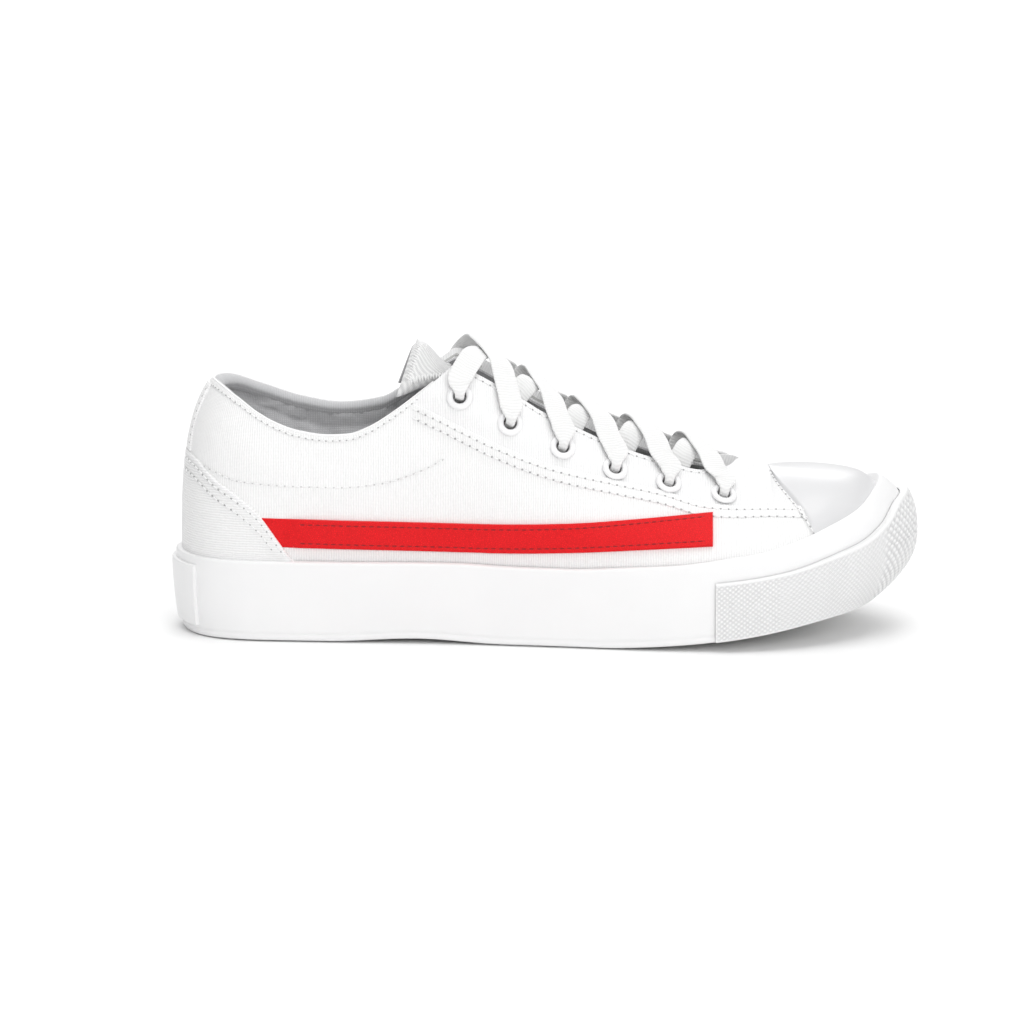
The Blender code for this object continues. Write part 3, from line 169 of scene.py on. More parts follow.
def closed_spline(points, steps):
    pts = np.array(points, dtype=float)
    count = len(pts)
    out = []
    for i in range(count):
        p0, p1, p2, p3 = (pts[(i + k - 1) % count] for k in range(4))
        for j in range(steps):
            u = j / steps
            out.append(0.5 * (2 * p1 + (p2 - p0) * u + (2 * p0 - 5 * p1 + 4 * p2 - p3) * u * u
                              + (3 * p1 - p0 - 3 * p2 + p3) * u ** 3))
    return np.array(out)


def inset(loop, distance):
    along = np.roll(loop, -1, axis=0) - np.roll(loop, 1, axis=0)
    along /= np.linalg.norm(along, axis=1)[:, None]
    return loop + np.stack([-along[:, 1], along[:, 0]], axis=1) * distance


SKIN_LOOP = inset(closed_spline(OUTLINE, 12), FOXING_OUT)


def ray_length(start, direction):
    a = SKIN_LOOP - start
    b = np.roll(SKIN_LOOP, -1, axis=0) - start
    cross_a = direction[0] * a[:, 1] - direction[1] * a[:, 0]
    cross_b = direction[0] * b[:, 1] - direction[1] * b[:, 0]
    hits = np.nonzero((cross_a * cross_b <= 0.0) & (cross_a != cross_b))[0]
    share = cross_a[hits] / (cross_a[hits] - cross_b[hits])
    points = a[hits] + (b[hits] - a[hits]) * share[:, None]
    return float((points @ direction).max())


TABLE_T = np.linspace(-1.0, 1.0, 161)


class Column:
    """One rising profile of the upper; place runs 0..1 round the heel, 1..2 along, 2..3 round the toe."""

    def __init__(self, side, place):
        self.side = side
        self.place = place
        if place < 1.0:
            angle = place * pi / 2.0
            self.pole_x = HEEL_POLE_X
            self.direction = np.array([-cos(angle), side * sin(angle)])
        elif place <= 2.0:
            self.pole_x = HEEL_POLE_X + (place - 1.0) * (TOE_POLE_X - HEEL_POLE_X)
            self.direction = np.array([0.0, float(side)])
        else:
            angle = (3.0 - place) * pi / 2.0
            self.pole_x = TOE_POLE_X
            self.direction = np.array([cos(angle), side * sin(angle)])
        self.pole = np.array([self.pole_x, float(CENTRE_LINE(self.pole_x))])
        self.radius = ray_length(self.pole, self.direction)
        rim = self.pole + self.direction * self.radius
        self.rim = rim
        self.bottom = float(SOLE_BOTTOM(rim[0]))
        self.wall = float(WALL_TOP(rim[0]))
        self.top = float(SPINE(self.pole_x))
        fullness = float(FULLNESS(self.pole_x))
        if place > 2.0:
            fullness += (3.0 - fullness) * fade(place - 2.0)
        self.power = 2.0 / fullness
        self.tuck = float(TOE_TUCK(rim[0]))
        self.table_r, self.table_z = self.radius_height(TABLE_T)
        spans = np.hypot(np.diff(self.table_r), np.diff(self.table_z))
        self.table_length = np.concatenate([[0.0], np.cumsum(spans)])

    def radius_height(self, t):
        t = np.asarray(t, dtype=float)
        low = np.minimum(t, 0.0)
        angle = np.clip(t, 0.0, 1.0) * pi / 2.0
        reach = np.maximum(np.cos(angle), 0.0) ** self.power
        rise = np.sin(angle) ** self.power
        upper = t > 0.0
        r = np.where(upper, self.radius * reach, self.radius - self.tuck * low * low)
        wall_z = self.wall + low * (self.wall - self.bottom)
        z = np.where(upper, self.wall + (self.top - self.wall) * rise, wall_z)
        return r, z

    def points(self, ts):
        r, z = self.radius_height(ts)
        x = self.pole[0] + self.direction[0] * r
        y = self.pole[1] + self.direction[1] * r
        return np.stack([x, y, z], axis=-1)

    def at_height(self, z):
        return float(np.interp(z, self.table_z, TABLE_T))

    def at_radius(self, r):
        half = len(TABLE_T) // 2
        return float(np.interp(-r, -self.table_r[half:], TABLE_T[half:]))

    def at_curve(self, curve, shift=0.0):
        t = 0.0
        for _ in range(12):
            t = 0.5 * (t + self.at_height(float(curve(self.points(t)[0])) + shift))
        return t

    def length_at(self, t):
        return np.interp(t, TABLE_T, self.table_length)

    def t_at_length(self, length):
        return np.interp(length, self.table_length, TABLE_T)

    def moved(self, t, distance):
        return float(self.t_at_length(self.length_at(t) + distance))


COLUMNS = {}


def column(side, place):
    key = (side, round(place, 5))
    if key not in COLUMNS:
        COLUMNS[key] = Column(side, place)
    return COLUMNS[key]


def place_of_x(x):
    return 1.0 + (x - HEEL_POLE_X) / (TOE_POLE_X - HEEL_POLE_X)


NORMAL_STEP = 0.004


def normals(side, place, ts):
    """Outward unit normals of the skin at places ts on one profile."""
    ts = np.atleast_1d(np.asarray(ts, dtype=float))
    last = 3.0 - NORMAL_STEP
    before = column(side, place - NORMAL_STEP) if place >= NORMAL_STEP else column(-side, NORMAL_STEP)
    after = column(side, place + NORMAL_STEP) if place <= last else column(-side, last)
    here = column(side, place)
    across = after.points(ts) - before.points(ts)
    rise = here.points(np.minimum(ts + 0.01, 1.0)) - here.points(np.maximum(ts - 0.01, -1.0))
    out = np.cross(across, rise) * -side
    slope = (float(SPINE(here.pole_x + 1.0)) - float(SPINE(here.pole_x - 1.0))) / 2.0
    out[ts > 0.999] = (-slope, 0.0, 1.0)
    return out / np.linalg.norm(out, axis=1)[:, None]


def skin(side, place, t, level):
    return column(side, place).points(t) + normals(side, place, [t])[0] * level


# ---------------------------------------------------------------- edges
# Every edge rule gives a place on a profile from (side, place).
def edge_on(curve, shift=0.0):
    """Edge that follows a height curve."""
    def rule(side, place):
        return column(side, place).at_curve(curve, shift)

    return rule


def above_sole(height):
    """Edge at an even height over the bottom edge of the sole."""
    def rule(side, place):
        here = column(side, place)
        return here.at_height(here.bottom + height)

    return rule


def beside(edge, distance):
    """Edge a length above (or below) another one, along the profile."""
    def rule(side, place):
        return column(side, place).moved(edge(side, place), distance)

    return rule


above_foxing = edge_on(FOXING_TOP, 0.1)
under_foxing = edge_on(FOXING_TOP, -6.0)
eyestay_line = edge_on(EYESTAY_LOW)


def collar_curve(side):
    return COLLAR_LATERAL if side < 0 else COLLAR_MEDIAL


def throat_half_width(x):
    past = x - (THROAT_FRONT_X - THROAT_HALF)
    return THROAT_HALF if past <= 0.0 else sqrt(max(THROAT_HALF ** 2 - past * past, 0.0))


def top_edge(side, place):
    here = column(side, place)
    if place <= place_of_x(THROAT_CORNER_X):
        return here.at_curve(collar_curve(side))
    if here.pole_x >= THROAT_FRONT_X:
        return 1.0
    return here.at_radius(throat_half_width(here.pole_x))


TOE_CAP_REAR_X = 229.0
TOE_CAP_SWEEP = 19.5
TOE_CAP_HALF_WIDTH = 41.0


def toe_cap_rear(side, place):
    here = column(side, place)
    ts = np.linspace(above_foxing(side, place), 1.0, 400)
    spots = here.points(ts)
    across = (spots[:, 1] - here.pole[1]) / TOE_CAP_HALF_WIDTH
    inside = np.nonzero(spots[:, 0] >= TOE_CAP_REAR_X + TOE_CAP_SWEEP * across * across)[0]
    return float(ts[inside[0]]) if len(inside) else 1.0


def whole_top(side, place):
    return 1.0


PADDING_FADE_X = 103.0
PADDING_FADE_LENGTH = 18.0


def foam_bulge(side, spots):
    """Extra depth of the padded collar at points on the skin."""
    low = PADDING_LOW(spots[:, 0])
    high = collar_curve(side)(spots[:, 0]) - BINDING_DEPTH - 4.0
    share = np.clip((spots[:, 2] - low) / np.maximum(high - low, 0.1), 0.0, 1.0)
    return FOAM_BULGE * np.sin(pi * share) * fade((PADDING_FADE_X - spots[:, 0]) / PADDING_FADE_LENGTH)


# ---------------------------------------------------------------- mesh making
SHOE = "shoe"
TONGUE = "tongue"
SMOOTH_ANGLE = radians(50.0)


def metres(points):
    pts = np.asarray(points, dtype=float)
    return np.stack([pts[:, 0] - CENTRE_X, pts[:, 1] - CENTRE_Y, pts[:, 2]], axis=1) * 0.001


def make(name, points, faces, paints, body, uvs=None, marks=None, sharp=SMOOTH_ANGLE):
    """One mesh object from points in millimetres; marks pick the material of each face."""
    mesh = bpy.data.meshes.new(name)
    mesh.from_pydata(metres(points).tolist(), [], [list(f) for f in faces])
    for paint in paints:
        mesh.materials.append(paint)
    if marks is not None:
        mesh.polygons.foreach_set("material_index", np.asarray(marks, dtype=np.int32))
    if uvs is not None:
        layer = mesh.uv_layers.new(name="pattern")
        corners = np.zeros(len(mesh.loops), dtype=np.int32)
        mesh.loops.foreach_get("vertex_index", corners)
        spread = np.asarray(uvs, dtype=float)[corners] * 0.001
        layer.data.foreach_set("uv", spread.astype(np.float32).ravel())
    mesh.shade_smooth()
    mesh.set_sharp_from_angle(angle=sharp)
    made = bpy.data.objects.new(name, mesh)
    bpy.context.scene.collection.objects.link(made)
    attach(made, body)
    return made


FINE_HEEL = 34
FINE_SIDE = 128
FINE_TOE = 44
FINE_PLACES = np.concatenate([
    np.linspace(0.0, 1.0, FINE_HEEL + 1), np.linspace(1.0, 2.0, FINE_SIDE + 1)[1:],
    np.linspace(2.0, 3.0, FINE_TOE + 1)[1:],
])


LEAST_STEP = 0.003


def span(side, first, last):
    between = [p for p in FINE_PLACES if first + LEAST_STEP < p < last - LEAST_STEP]
    return [(side, float(p)) for p in [first] + between + [last]]


def heel_wrap(last):
    medial = span(1, 0.0, last)
    return [(-1, place) for _, place in reversed(medial)] + medial[1:]


def toe_wrap(first):
    lateral = span(-1, first, 3.0)
    return lateral + [(1, place) for _, place in reversed(lateral)][1:]


def full_ring():
    lateral = span(-1, 0.0, 3.0)
    return lateral + [(1, place) for _, place in reversed(lateral)][1:-1]


def run_tables():
    """Length along the skin from the heel, for each side."""
    tables = {}
    for side in (-1, 1):
        spots = np.array([column(side, p).points(0.2) for p in FINE_PLACES])
        steps = np.linalg.norm(np.diff(spots, axis=0), axis=1)
        tables[side] = np.concatenate([[0.0], np.cumsum(steps)])
    return tables


RUN = run_tables()


def run_at(side, place):
    return side * float(np.interp(place, FINE_PLACES, RUN[side]))


EDGE_ROWS = np.array([0.0, 0.1, 0.35, 0.7])
EDGE_DROP = 1.0 - np.sqrt(1.0 - (1.0 - EDGE_ROWS) ** 2)


def value_of(rule, side, place, spots, above, below):
    """Level along one profile; above and below are the lengths to the two edges."""
    return rule(side, place, spots, above, below) if callable(rule) else rule


def shell(name, places, low, high, outer, inner, paint, body=SHOE, row=1.2, soft=0.5, ring=False,
          holes=False, ends=True):
    """Layer of the upper: an outer face with rounded edges, turned down to an inner level all round."""
    spans = []
    for side, place in places:
        here = column(side, place)
        start = float(here.length_at(low(side, place)))
        spans.append((start, max(float(here.length_at(high(side, place))), start + 0.05)))
    rows = max(int(max(b - a for a, b in spans) / row), 2)
    points = []
    uvs = []
    for (side, place), (start, end) in zip(places, spans):
        here = column(side, place)
        edge = min(1.3 * soft, (end - start) / 3.0)
        middle = np.linspace(start + edge, end - edge, rows)
        lengths = np.concatenate([start + edge * EDGE_ROWS, middle, end - edge * EDGE_ROWS[::-1]])
        drop = np.concatenate([EDGE_DROP, np.zeros(rows), EDGE_DROP[::-1]]) * soft
        ts = here.t_at_length(lengths)
        spots = here.points(ts)
        out = normals(side, place, ts)
        levels = value_of(outer, side, place, spots, end - lengths, lengths - start)
        levels = levels - drop * (1 if outer_up(outer, inner) else -1)
        under = value_of(inner, side, place, spots, end - lengths, lengths - start) + np.zeros(len(ts))
        face = spots + out * np.reshape(levels + np.zeros(len(ts)), (-1, 1))
        points.append(np.concatenate([
            spots[:1] + out[:1] * under[0], face, spots[-1:] + out[-1:] * under[-1]]))
        heights = np.concatenate([lengths[:1], lengths, lengths[-1:]])
        uvs.append(np.stack([np.full(len(heights), run_at(side, place)), heights], axis=1))
    if not ring and ends:
        for first in (True, False):
            index = 0 if first else len(places) - 1
            side, place = places[index]
            here = column(side, place)
            lengths = uvs[-1 if not first else 0][:, 1]
            ts = here.t_at_length(lengths)
            spots = here.points(ts)
            under = value_of(inner, side, place, spots, spans[index][1] - lengths, lengths - spans[index][0])
            low_face = spots + normals(side, place, ts) * np.reshape(under + np.zeros(len(ts)), (-1, 1))
            if first:
                points.insert(0, low_face)
                uvs.insert(0, uvs[0])
            else:
                points.append(low_face)
                uvs.append(uvs[-1])
    count = len(points)
    size = len(points[0])
    index = np.arange(count * size).reshape(count, size)
    ahead = np.roll(index, -1, axis=0)
    if not ring:
        index = index[:-1]
        ahead = ahead[:-1]
    quads = np.stack([index[:, :-1], ahead[:, :-1], ahead[:, 1:], index[:, 1:]], axis=-1).reshape(-1, 4)
    cloud = np.concatenate(points)
    if holes:
        quads = quads[~near_eyelets(cloud[quads].mean(axis=1))]
    return make(name, cloud, quads.tolist(), [paint], body, np.concatenate(uvs))


def outer_up(outer, inner):
    return callable(outer) or callable(inner) or outer > inner


def eyelet_radius(k):
    return 26.0 + 2.0 * min(k / 2.0, 1.0)


def eyelet_frame(side, k):
    place = place_of_x(EYELET_X[k])
    here = column(side, place)
    t = here.at_radius(eyelet_radius(k))
    centre = here.points(t)
    out = normals(side, place, [t])[0]
    along = np.array([1.0, 0.0, 0.0])
    along = along - out * float(along @ out)
    along /= np.linalg.norm(along)
    inward = np.cross(along, out)
    inward *= 1.0 if inward[1] * -side > 0.0 else -1.0
    return centre, out, inward, along


EYELET_HOLE = 3.6


def near_eyelets(spots):
    near = np.zeros(len(spots), dtype=bool)
    for side in (-1, 1):
        for k in range(len(EYELET_X)):
            centre, out, _, _ = eyelet_frame(side, k)
            offset = spots - centre
            depth = offset @ out
            away = np.linalg.norm(offset - depth[:, None] * out, axis=1)
            near |= (away < EYELET_HOLE) & (np.abs(depth) < 12.0)
    return near


def tube_faces(rings, size):
    """Quads between rings of points, each ring closed on itself."""
    faces = []
    for i in range(rings - 1):
        for j in range(size):
            k = (j + 1) % size
            faces.append([i * size + j, i * size + k, (i + 1) * size + k, (i + 1) * size + j])
    return faces


# ---------------------------------------------------------------- sewing
def ball(stations, facets):
    """Unit capsule along X: points and quads."""
    points = []
    for i in range(stations):
        angle = pi * i / (stations - 1)
        for j in range(facets):
            turn = 2.0 * pi * j / facets
            points.append((-cos(angle), sin(angle) * cos(turn), sin(angle) * sin(turn)))
    return np.array(points), np.array(tube_faces(stations, facets))


BALL_POINTS, BALL_QUADS = ball(6, 8)


def even_steps(path, outs, pitch, start=0.5):
    """Evenly spaced positions, headings and normals along a path."""
    path = np.asarray(path, dtype=float)
    outs = np.asarray(outs, dtype=float)
    lengths = np.concatenate([[0.0], np.cumsum(np.linalg.norm(np.diff(path, axis=0), axis=1))])
    marks = np.arange(start * pitch, lengths[-1] - 0.3 * pitch, pitch)

    def at(where, rows):
        return np.stack([np.interp(where, lengths, rows[:, i]) for i in range(3)], axis=1)

    spots = at(marks, path)
    normal = at(marks, outs)
    heading = at(marks + 0.4, path) - at(marks - 0.4, path)
    heading /= np.linalg.norm(heading, axis=1)[:, None]
    normal -= heading * (normal * heading).sum(axis=1)[:, None]
    normal /= np.linalg.norm(normal, axis=1)[:, None]
    return spots, heading, normal


def beads(spots, heading, normal, length, width, height):
    cross = np.cross(normal, heading)
    shape = BALL_POINTS * (length / 2.0, width / 2.0, height / 2.0)
    points = (spots[:, None, :] + heading[:, None, :] * shape[None, :, :1]
              + cross[:, None, :] * shape[None, :, 1:2] + normal[:, None, :] * shape[None, :, 2:])
    quads = BALL_QUADS[None] + (np.arange(len(spots)) * len(BALL_POINTS))[:, None, None]
    return points.reshape(-1, 3), quads.reshape(-1, 4)


def sew(name, rows, body, thread, hole, pitch=3.1, width=0.75, height=0.6):
    """Rows of stitches, each stitch between two needle holes; the holes are small dark beads of painted
    shade.
    """
    points = []
    quads = []
    marks = []
    total = 0
    for path, outs in rows:
        # Kind 0 is the thread; kind 1 is a flat dark bead at each needle hole, painted shade in the hole.
        for kind, start, length, wide, high in ((0, 0.5, pitch * 0.74, width, height),
                                                (1, 1.0, pitch * 0.26, width * 1.05, height * 0.35)):
            spots, heading, normal = even_steps(path, outs, pitch, start)
            if not len(spots):
                continue
            cloud, faces = beads(spots, heading, normal, length, wide, high)
            points.append(cloud)
            quads.append(faces + total)
            marks.append(np.full(len(faces), kind))
            total += len(cloud)
    return make(name, np.concatenate(points), np.concatenate(quads).tolist(), [thread, hole], body,
                marks=np.concatenate(marks), sharp=radians(180.0))


def trace(places, rule, shift, level):
    """Path on the upper a given length above (or below) an edge rule."""
    path = []
    outs = []
    for side, place in places:
        here = column(side, place)
        t = here.moved(rule(side, place), shift)
        out = normals(side, place, [t])[0]
        path.append(here.points(t) + out * level)
        outs.append(out)
    return path, outs


# ---------------------------------------------------------------- upper
EYESTAY_START_X = 90.0
EYESTAY_LAST = 2.31
BAND_REACH = 10.0


def quarter_high(side, place):
    here = column(side, place)
    edge = top_edge(side, place)
    if here.pole_x > EYESTAY_START_X:
        edge = min(edge, eyestay_line(side, place))
    return edge


def quarter_level(side, place, spots, above, below):
    """The stitched upper band of the quarter lies over the eyestay."""
    reach = fade((spots[:, 0] - EYESTAY_START_X) / 12.0)
    pad = 0.5 * np.exp(-((above - 17.0) / 9.0) ** 2) * (1.0 - reach)
    return 0.15 + 1.2 * fade(1.0 - above / BAND_REACH) * reach + pad


def eyestay_level(side, place, spots, above, below):
    front = fade((spots[:, 0] - THROAT_FRONT_X) / 20.0)
    return 1.35 - 1.05 * fade(1.0 - (below - 2.0) / 8.0) * (1.0 - front)


def eyestay_under(side, place, spots, above, below):
    """The canvas is folded down over the lining along the throat and collar."""
    folded = (above < 0.1) & (spots[:, 0] < THROAT_FRONT_X)
    return np.where(folded, LINING_IN, -CANVAS_THICKNESS)


eyestay_low = beside(eyestay_line, -2.5)


def eyestay_high(side, place):
    edge = top_edge(side, place) if place <= 2.0 else toe_cap_rear(side, place)
    return max(edge, eyestay_low(side, place) + 0.002)


def build_quarters(paints):
    for side, label in ((-1, "lateral"), (1, "medial")):
        made = shell("quarter_%s_cloth" % label, span(side, 0.0, 2.3), under_foxing, quarter_high,
                     quarter_level, -CANVAS_THICKNESS, paints["canvas"], soft=0.4)
        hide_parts("quarter_" + label)
        places = span(side, place_of_x(EYESTAY_START_X + 1.5), EYESTAY_LAST)
        made = shell("eyestay_%s_cloth" % label, places, eyestay_low, eyestay_high, eyestay_level,
                     eyestay_under, paints["eyestay"], holes=True, soft=0.4)
        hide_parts("eyestay_" + label, "vamp")
        thread_rows(side, label, paints)


def thread_rows(side, label, paints):
    """Two rows below the eyestay line, one each along the throat, toe cap and collar padding."""
    first = place_of_x(EYESTAY_START_X + 2.5)
    line = span(side, first, 2.28)
    rows = [trace(line, eyestay_line, -2.2, 1.25), trace(line, eyestay_line, -5.6, 0.85)]
    throat = span(side, place_of_x(THROAT_CORNER_X - 3.0), place_of_x(THROAT_FRONT_X - 6.0))
    rows.append(trace(throat, top_edge, -2.2, 1.45))
    front = []
    for place in np.linspace(2.004, 2.3, 40):
        here = column(side, place)
        rear = here.moved(toe_cap_rear(side, place), -3.2)
        out = normals(side, place, [rear])[0]
        front.append((here.points(rear) + out * 1.4, out))
    rows.append(([p for p, _ in front], [n for _, n in front]))
    sew("eyestay_stitches_" + label, rows, SHOE, paints["thread"], paints["hole"])
    rows = [trace(span(side, 0.12, place_of_x(106.0)), edge_on(PADDING_LOW, -1.0), 0.0, 0.62)]
    sew("padding_stitches_" + label, rows, SHOE, paints["thread"], paints["faint_hole"], width=0.55,
        height=0.35)


def build_front(paints):
    """Smooth toe cap, tucked under the canvas at its rear edge."""
    def cap_level(side, place, spots, above, below):
        return 0.45 + (TOE_CAP_OUT - 0.45) * fade(below / 9.0)

    def cap_low(side, place):
        rear = toe_cap_rear(side, place)
        if rear >= 0.999:
            return 1.0
        return max(column(side, place).moved(rear, -1.0), under_foxing(side, place))

    made = shell("toe_cap_skin", toe_wrap(2.0), cap_low, whole_top, cap_level, -0.5, paints["toe"],
                 soft=0.1)
    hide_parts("toe_cap")


BACKSTAY_ROW = 0.14


def build_heel(paints):
    def counter_high(side, place):
        edge = column(side, place).at_curve(COUNTER_TOP)
        return max(edge, under_foxing(side, place) + 0.004)

    def counter_level(side, place, spots, above, below):
        return 1.3 + 0.6 * fade(1.0 - (above - 3.0) / 8.0) * fade((spots[:, 0] - 14.0) / 16.0)

    made = shell("heel_counter_cloth", heel_wrap(1.055), under_foxing, counter_high, counter_level, 0.0,
                 paints["counter"], soft=0.6)
    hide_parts("heel_counter_cover")
    stay_low = beside(counter_high, 0.25)
    stay_high = beside(top_edge, -1.5)
    made = shell("heel_backstay_cloth", heel_wrap(1.0 / 6.0), stay_low, stay_high, 1.2, 0.0,
                 paints["counter"], soft=0.6)
    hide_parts("heel_backstay")
    rows = [trace(span(side, 0.1, 1.04), counter_high, -2.2, 1.85) for side in (-1, 1)]
    rows += [trace(span(side, 0.1, 1.015), counter_high, -6.5, 1.6) for side in (-1, 1)]
    for side in (-1, 1):
        path = []
        outs = []
        for t in np.linspace(stay_low(side, BACKSTAY_ROW), stay_high(side, BACKSTAY_ROW), 30):
            out = normals(side, BACKSTAY_ROW, [t])[0]
            path.append(column(side, BACKSTAY_ROW).points(t) + out * 1.2)
            outs.append(out)
        rows.append((path, outs))
    sew("counter_stitches", rows, SHOE, paints["thread"], paints["hole"])


def stripe_level(side, place, spots, above, below):
    """The stripe dives under the heel counter at its rear end."""
    return STRIPE_OUT - 0.95 * (1.0 - fade((spots[:, 0] - 42.0) / 10.0))


STRIPE_HALF_WIDTH = 5.5
STRIPE_FRONT_X = 206.0


def build_stripes(paints):
    low = edge_on(STRIPE_MIDDLE, -STRIPE_HALF_WIDTH)
    high = edge_on(STRIPE_MIDDLE, STRIPE_HALF_WIDTH)
    for side, label in ((-1, "lateral"), (1, "medial")):
        places = span(side, 0.93, place_of_x(STRIPE_FRONT_X))
        made = shell("side_stripe_%s_leather" % label, places, low, high, stripe_level, 0.0,
                     paints["leather"], soft=0.55, row=0.9)
        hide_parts("side_stripe_" + label)
        inner = span(side, place_of_x(50.0), place_of_x(203.5))
        rows = [trace(inner, low, 1.9, STRIPE_OUT - 0.08), trace(inner, high, -1.9, STRIPE_OUT - 0.08)]
        sew("stripe_stitches_" + label, rows, SHOE, paints["red_thread"], paints["red_hole"], pitch=2.9,
            width=0.7, height=0.55)


# ---------------------------------------------------------------- inside
def lining_level(side, place, spots, above, below):
    return LINING_IN - foam_bulge(side, spots)


CLOTH_FRAMES = 20
CLOTH_PRESSURE = 4.0
CLOTH_TRAVEL = 0.0011
CLOTH_SLACK = -0.05
HELD_RINGS = 3
CLOTH_WELD = 0.0001


def vectors(items, name):
    """One three-number value of every vertex or face, as rows."""
    values = np.empty(3 * len(items))
    items.foreach_get(name, values)
    return values.reshape(-1, 3)


def settle(made):
    """Cloth laid over the collar foam: held along its seams, filled from behind, moved very little."""
    mesh = made.data
    work = bmesh.new()
    work.from_mesh(mesh)
    bmesh.ops.remove_doubles(work, verts=work.verts[:], dist=CLOTH_WELD)
    work.to_mesh(mesh)
    work.verts.index_update()
    held = {v for e in work.edges if e.is_boundary for v in e.verts}
    for _ in range(HELD_RINGS):
        held |= {e.other_vert(v) for v in held for e in v.link_edges}
    made.vertex_groups.new(name="held").add([v.index for v in held], 1.0, "REPLACE")
    work.free()
    before = vectors(mesh.vertices, "co")
    facing = vectors(mesh.polygons, "normal")
    centres = vectors(mesh.polygons, "center")
    inward = centres.mean(axis=0) - centres
    direction = 1.0 if float((facing * inward).sum()) > 0.0 else -1.0
    cloth = made.modifiers.new("cloth", "CLOTH")
    cloth.settings.quality = 6
    cloth.settings.mass = 0.15
    cloth.settings.vertex_group_mass = "held"
    cloth.settings.effector_weights.gravity = 0.0
    cloth.settings.shrink_min = CLOTH_SLACK
    cloth.settings.use_pressure = True
    cloth.settings.uniform_pressure_force = direction * CLOTH_PRESSURE
    cloth.point_cache.frame_start = 1
    cloth.point_cache.frame_end = CLOTH_FRAMES
    for frame in range(1, CLOTH_FRAMES + 1):
        bpy.context.scene.frame_set(frame)
    settled = made.evaluated_get(bpy.context.evaluated_depsgraph_get())
    move = vectors(settled.data.vertices, "co") - before
    length = np.linalg.norm(move, axis=1)
    share = CLOTH_TRAVEL * np.tanh(length / CLOTH_TRAVEL) / np.maximum(length, 1.0e-9)
    made.modifiers.remove(cloth)
    bpy.context.scene.frame_set(1)
    mesh.vertices.foreach_set("co", (before + move * share[:, None]).ravel())
    mesh.update()


LINING_JOIN_X = 200.8


def build_linings(paints):
    last = place_of_x(COLLAR_PAD_END_X)
    collar = shell("collar_lining_cloth", heel_wrap(last), edge_on(PADDING_LOW, -0.2), top_edge, lining_level,
                   LINING_OUT + 0.4, paints["lining"], soft=0.0, ends=False)
    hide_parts("collar_lining")
    settle(collar)
    low = above_sole(12.0)

    def quarter_lining_high(side, place):
        if place <= last:
            return column(side, place).at_curve(PADDING_LOW, 0.6)
        return top_edge(side, place)

    walls = shell("quarter_lining_cloth", heel_wrap(place_of_x(LINING_JOIN_X)), low, quarter_lining_high,
                  lining_level, LINING_OUT, paints["lining"], soft=0.0, holes=True, ends=False)
    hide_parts("quarter_lining")
    front = shell("vamp_lining_cloth", toe_wrap(place_of_x(LINING_JOIN_X)), low, top_edge, LINING_IN,
                  LINING_OUT, paints["lining"], soft=0.0, holes=True, ends=False)
    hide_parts("vamp_lining")
    grip = shell("heel_grip_cloth", heel_wrap(0.93), above_sole(24.0), edge_on(PADDING_LOW, -2.0), GRIP_IN,
                 GRIP_OUT, paints["grip"], soft=0.4)
    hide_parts("heel_grip")


def build_binding(paints):
    """Collar rim: canvas rolled over the edge to the lining, with a thin satin piping along the fold."""
    places = heel_wrap(place_of_x(COLLAR_PAD_END_X + 2.0))
    inner = LINING_IN - 0.5
    outer = 0.55
    middle = (outer + inner) / 2.0
    half = (outer - inner) / 2.0
    angles = np.linspace(0.0, pi, 17)
    section = [(OVERLAY_IN - 0.3, -2.2), (outer, -1.0)]
    section += [(middle + half * cos(a), -0.4 + 1.5 * sin(a)) for a in angles]
    section += [(inner, -1.6), (inner + 0.3, -3.0)]
    cord = [(0.12 + 0.5 * cos(a), 0.45 + 0.5 * sin(a)) for a in np.linspace(0.0, 2.0 * pi, 9)]
    points = []
    uvs = []
    faces = []
    marks = []
    for side, place in places:
        t = top_edge(side, place)
        here = column(side, place)
        base = here.points(t)
        out = normals(side, place, [t])[0]
        rise = here.points(t + 0.004) - here.points(t - 0.004)
        rise /= np.linalg.norm(rise)
        for j, (level, height) in enumerate(section + cord):
            points.append(base + out * level + rise * height)
            uvs.append((run_at(side, place), j * 0.7))
    size = len(section) + len(cord)
    for i in range(len(places) - 1):
        for j in range(size - 1):
            if j == len(section) - 1:
                continue
            faces.append([i * size + j, i * size + j + 1, (i + 1) * size + j + 1, (i + 1) * size + j])
            marks.append(2 if j >= len(section) else (0 if j < 6 else 1))
    looks = [paints["canvas"], paints["lining"], paints["tape"]]
    made = make("collar_binding_tape", points, faces, looks, SHOE, uvs, marks)
    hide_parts("collar_binding")
    rows = [trace(places, top_edge, -1.6, 0.55)]
    sew("binding_stitches", rows, SHOE, paints["thread"], paints["hole"], pitch=2.6, width=0.5, height=0.35)


# ---------------------------------------------------------------- rubber
def knurl(run, rise, pitch):
    """Diamond knurling: flat-topped diamonds between two families of slanting grooves, 0 on top."""
    a = (run + 1.15 * rise) / pitch
    b = (run - 1.15 * rise) / pitch
    ridge = np.minimum(np.abs(a - np.floor(a) - 0.5), np.abs(b - np.floor(b) - 0.5)) * 2.0
    return np.minimum(ridge * 1.6, 1.0) - 0.8


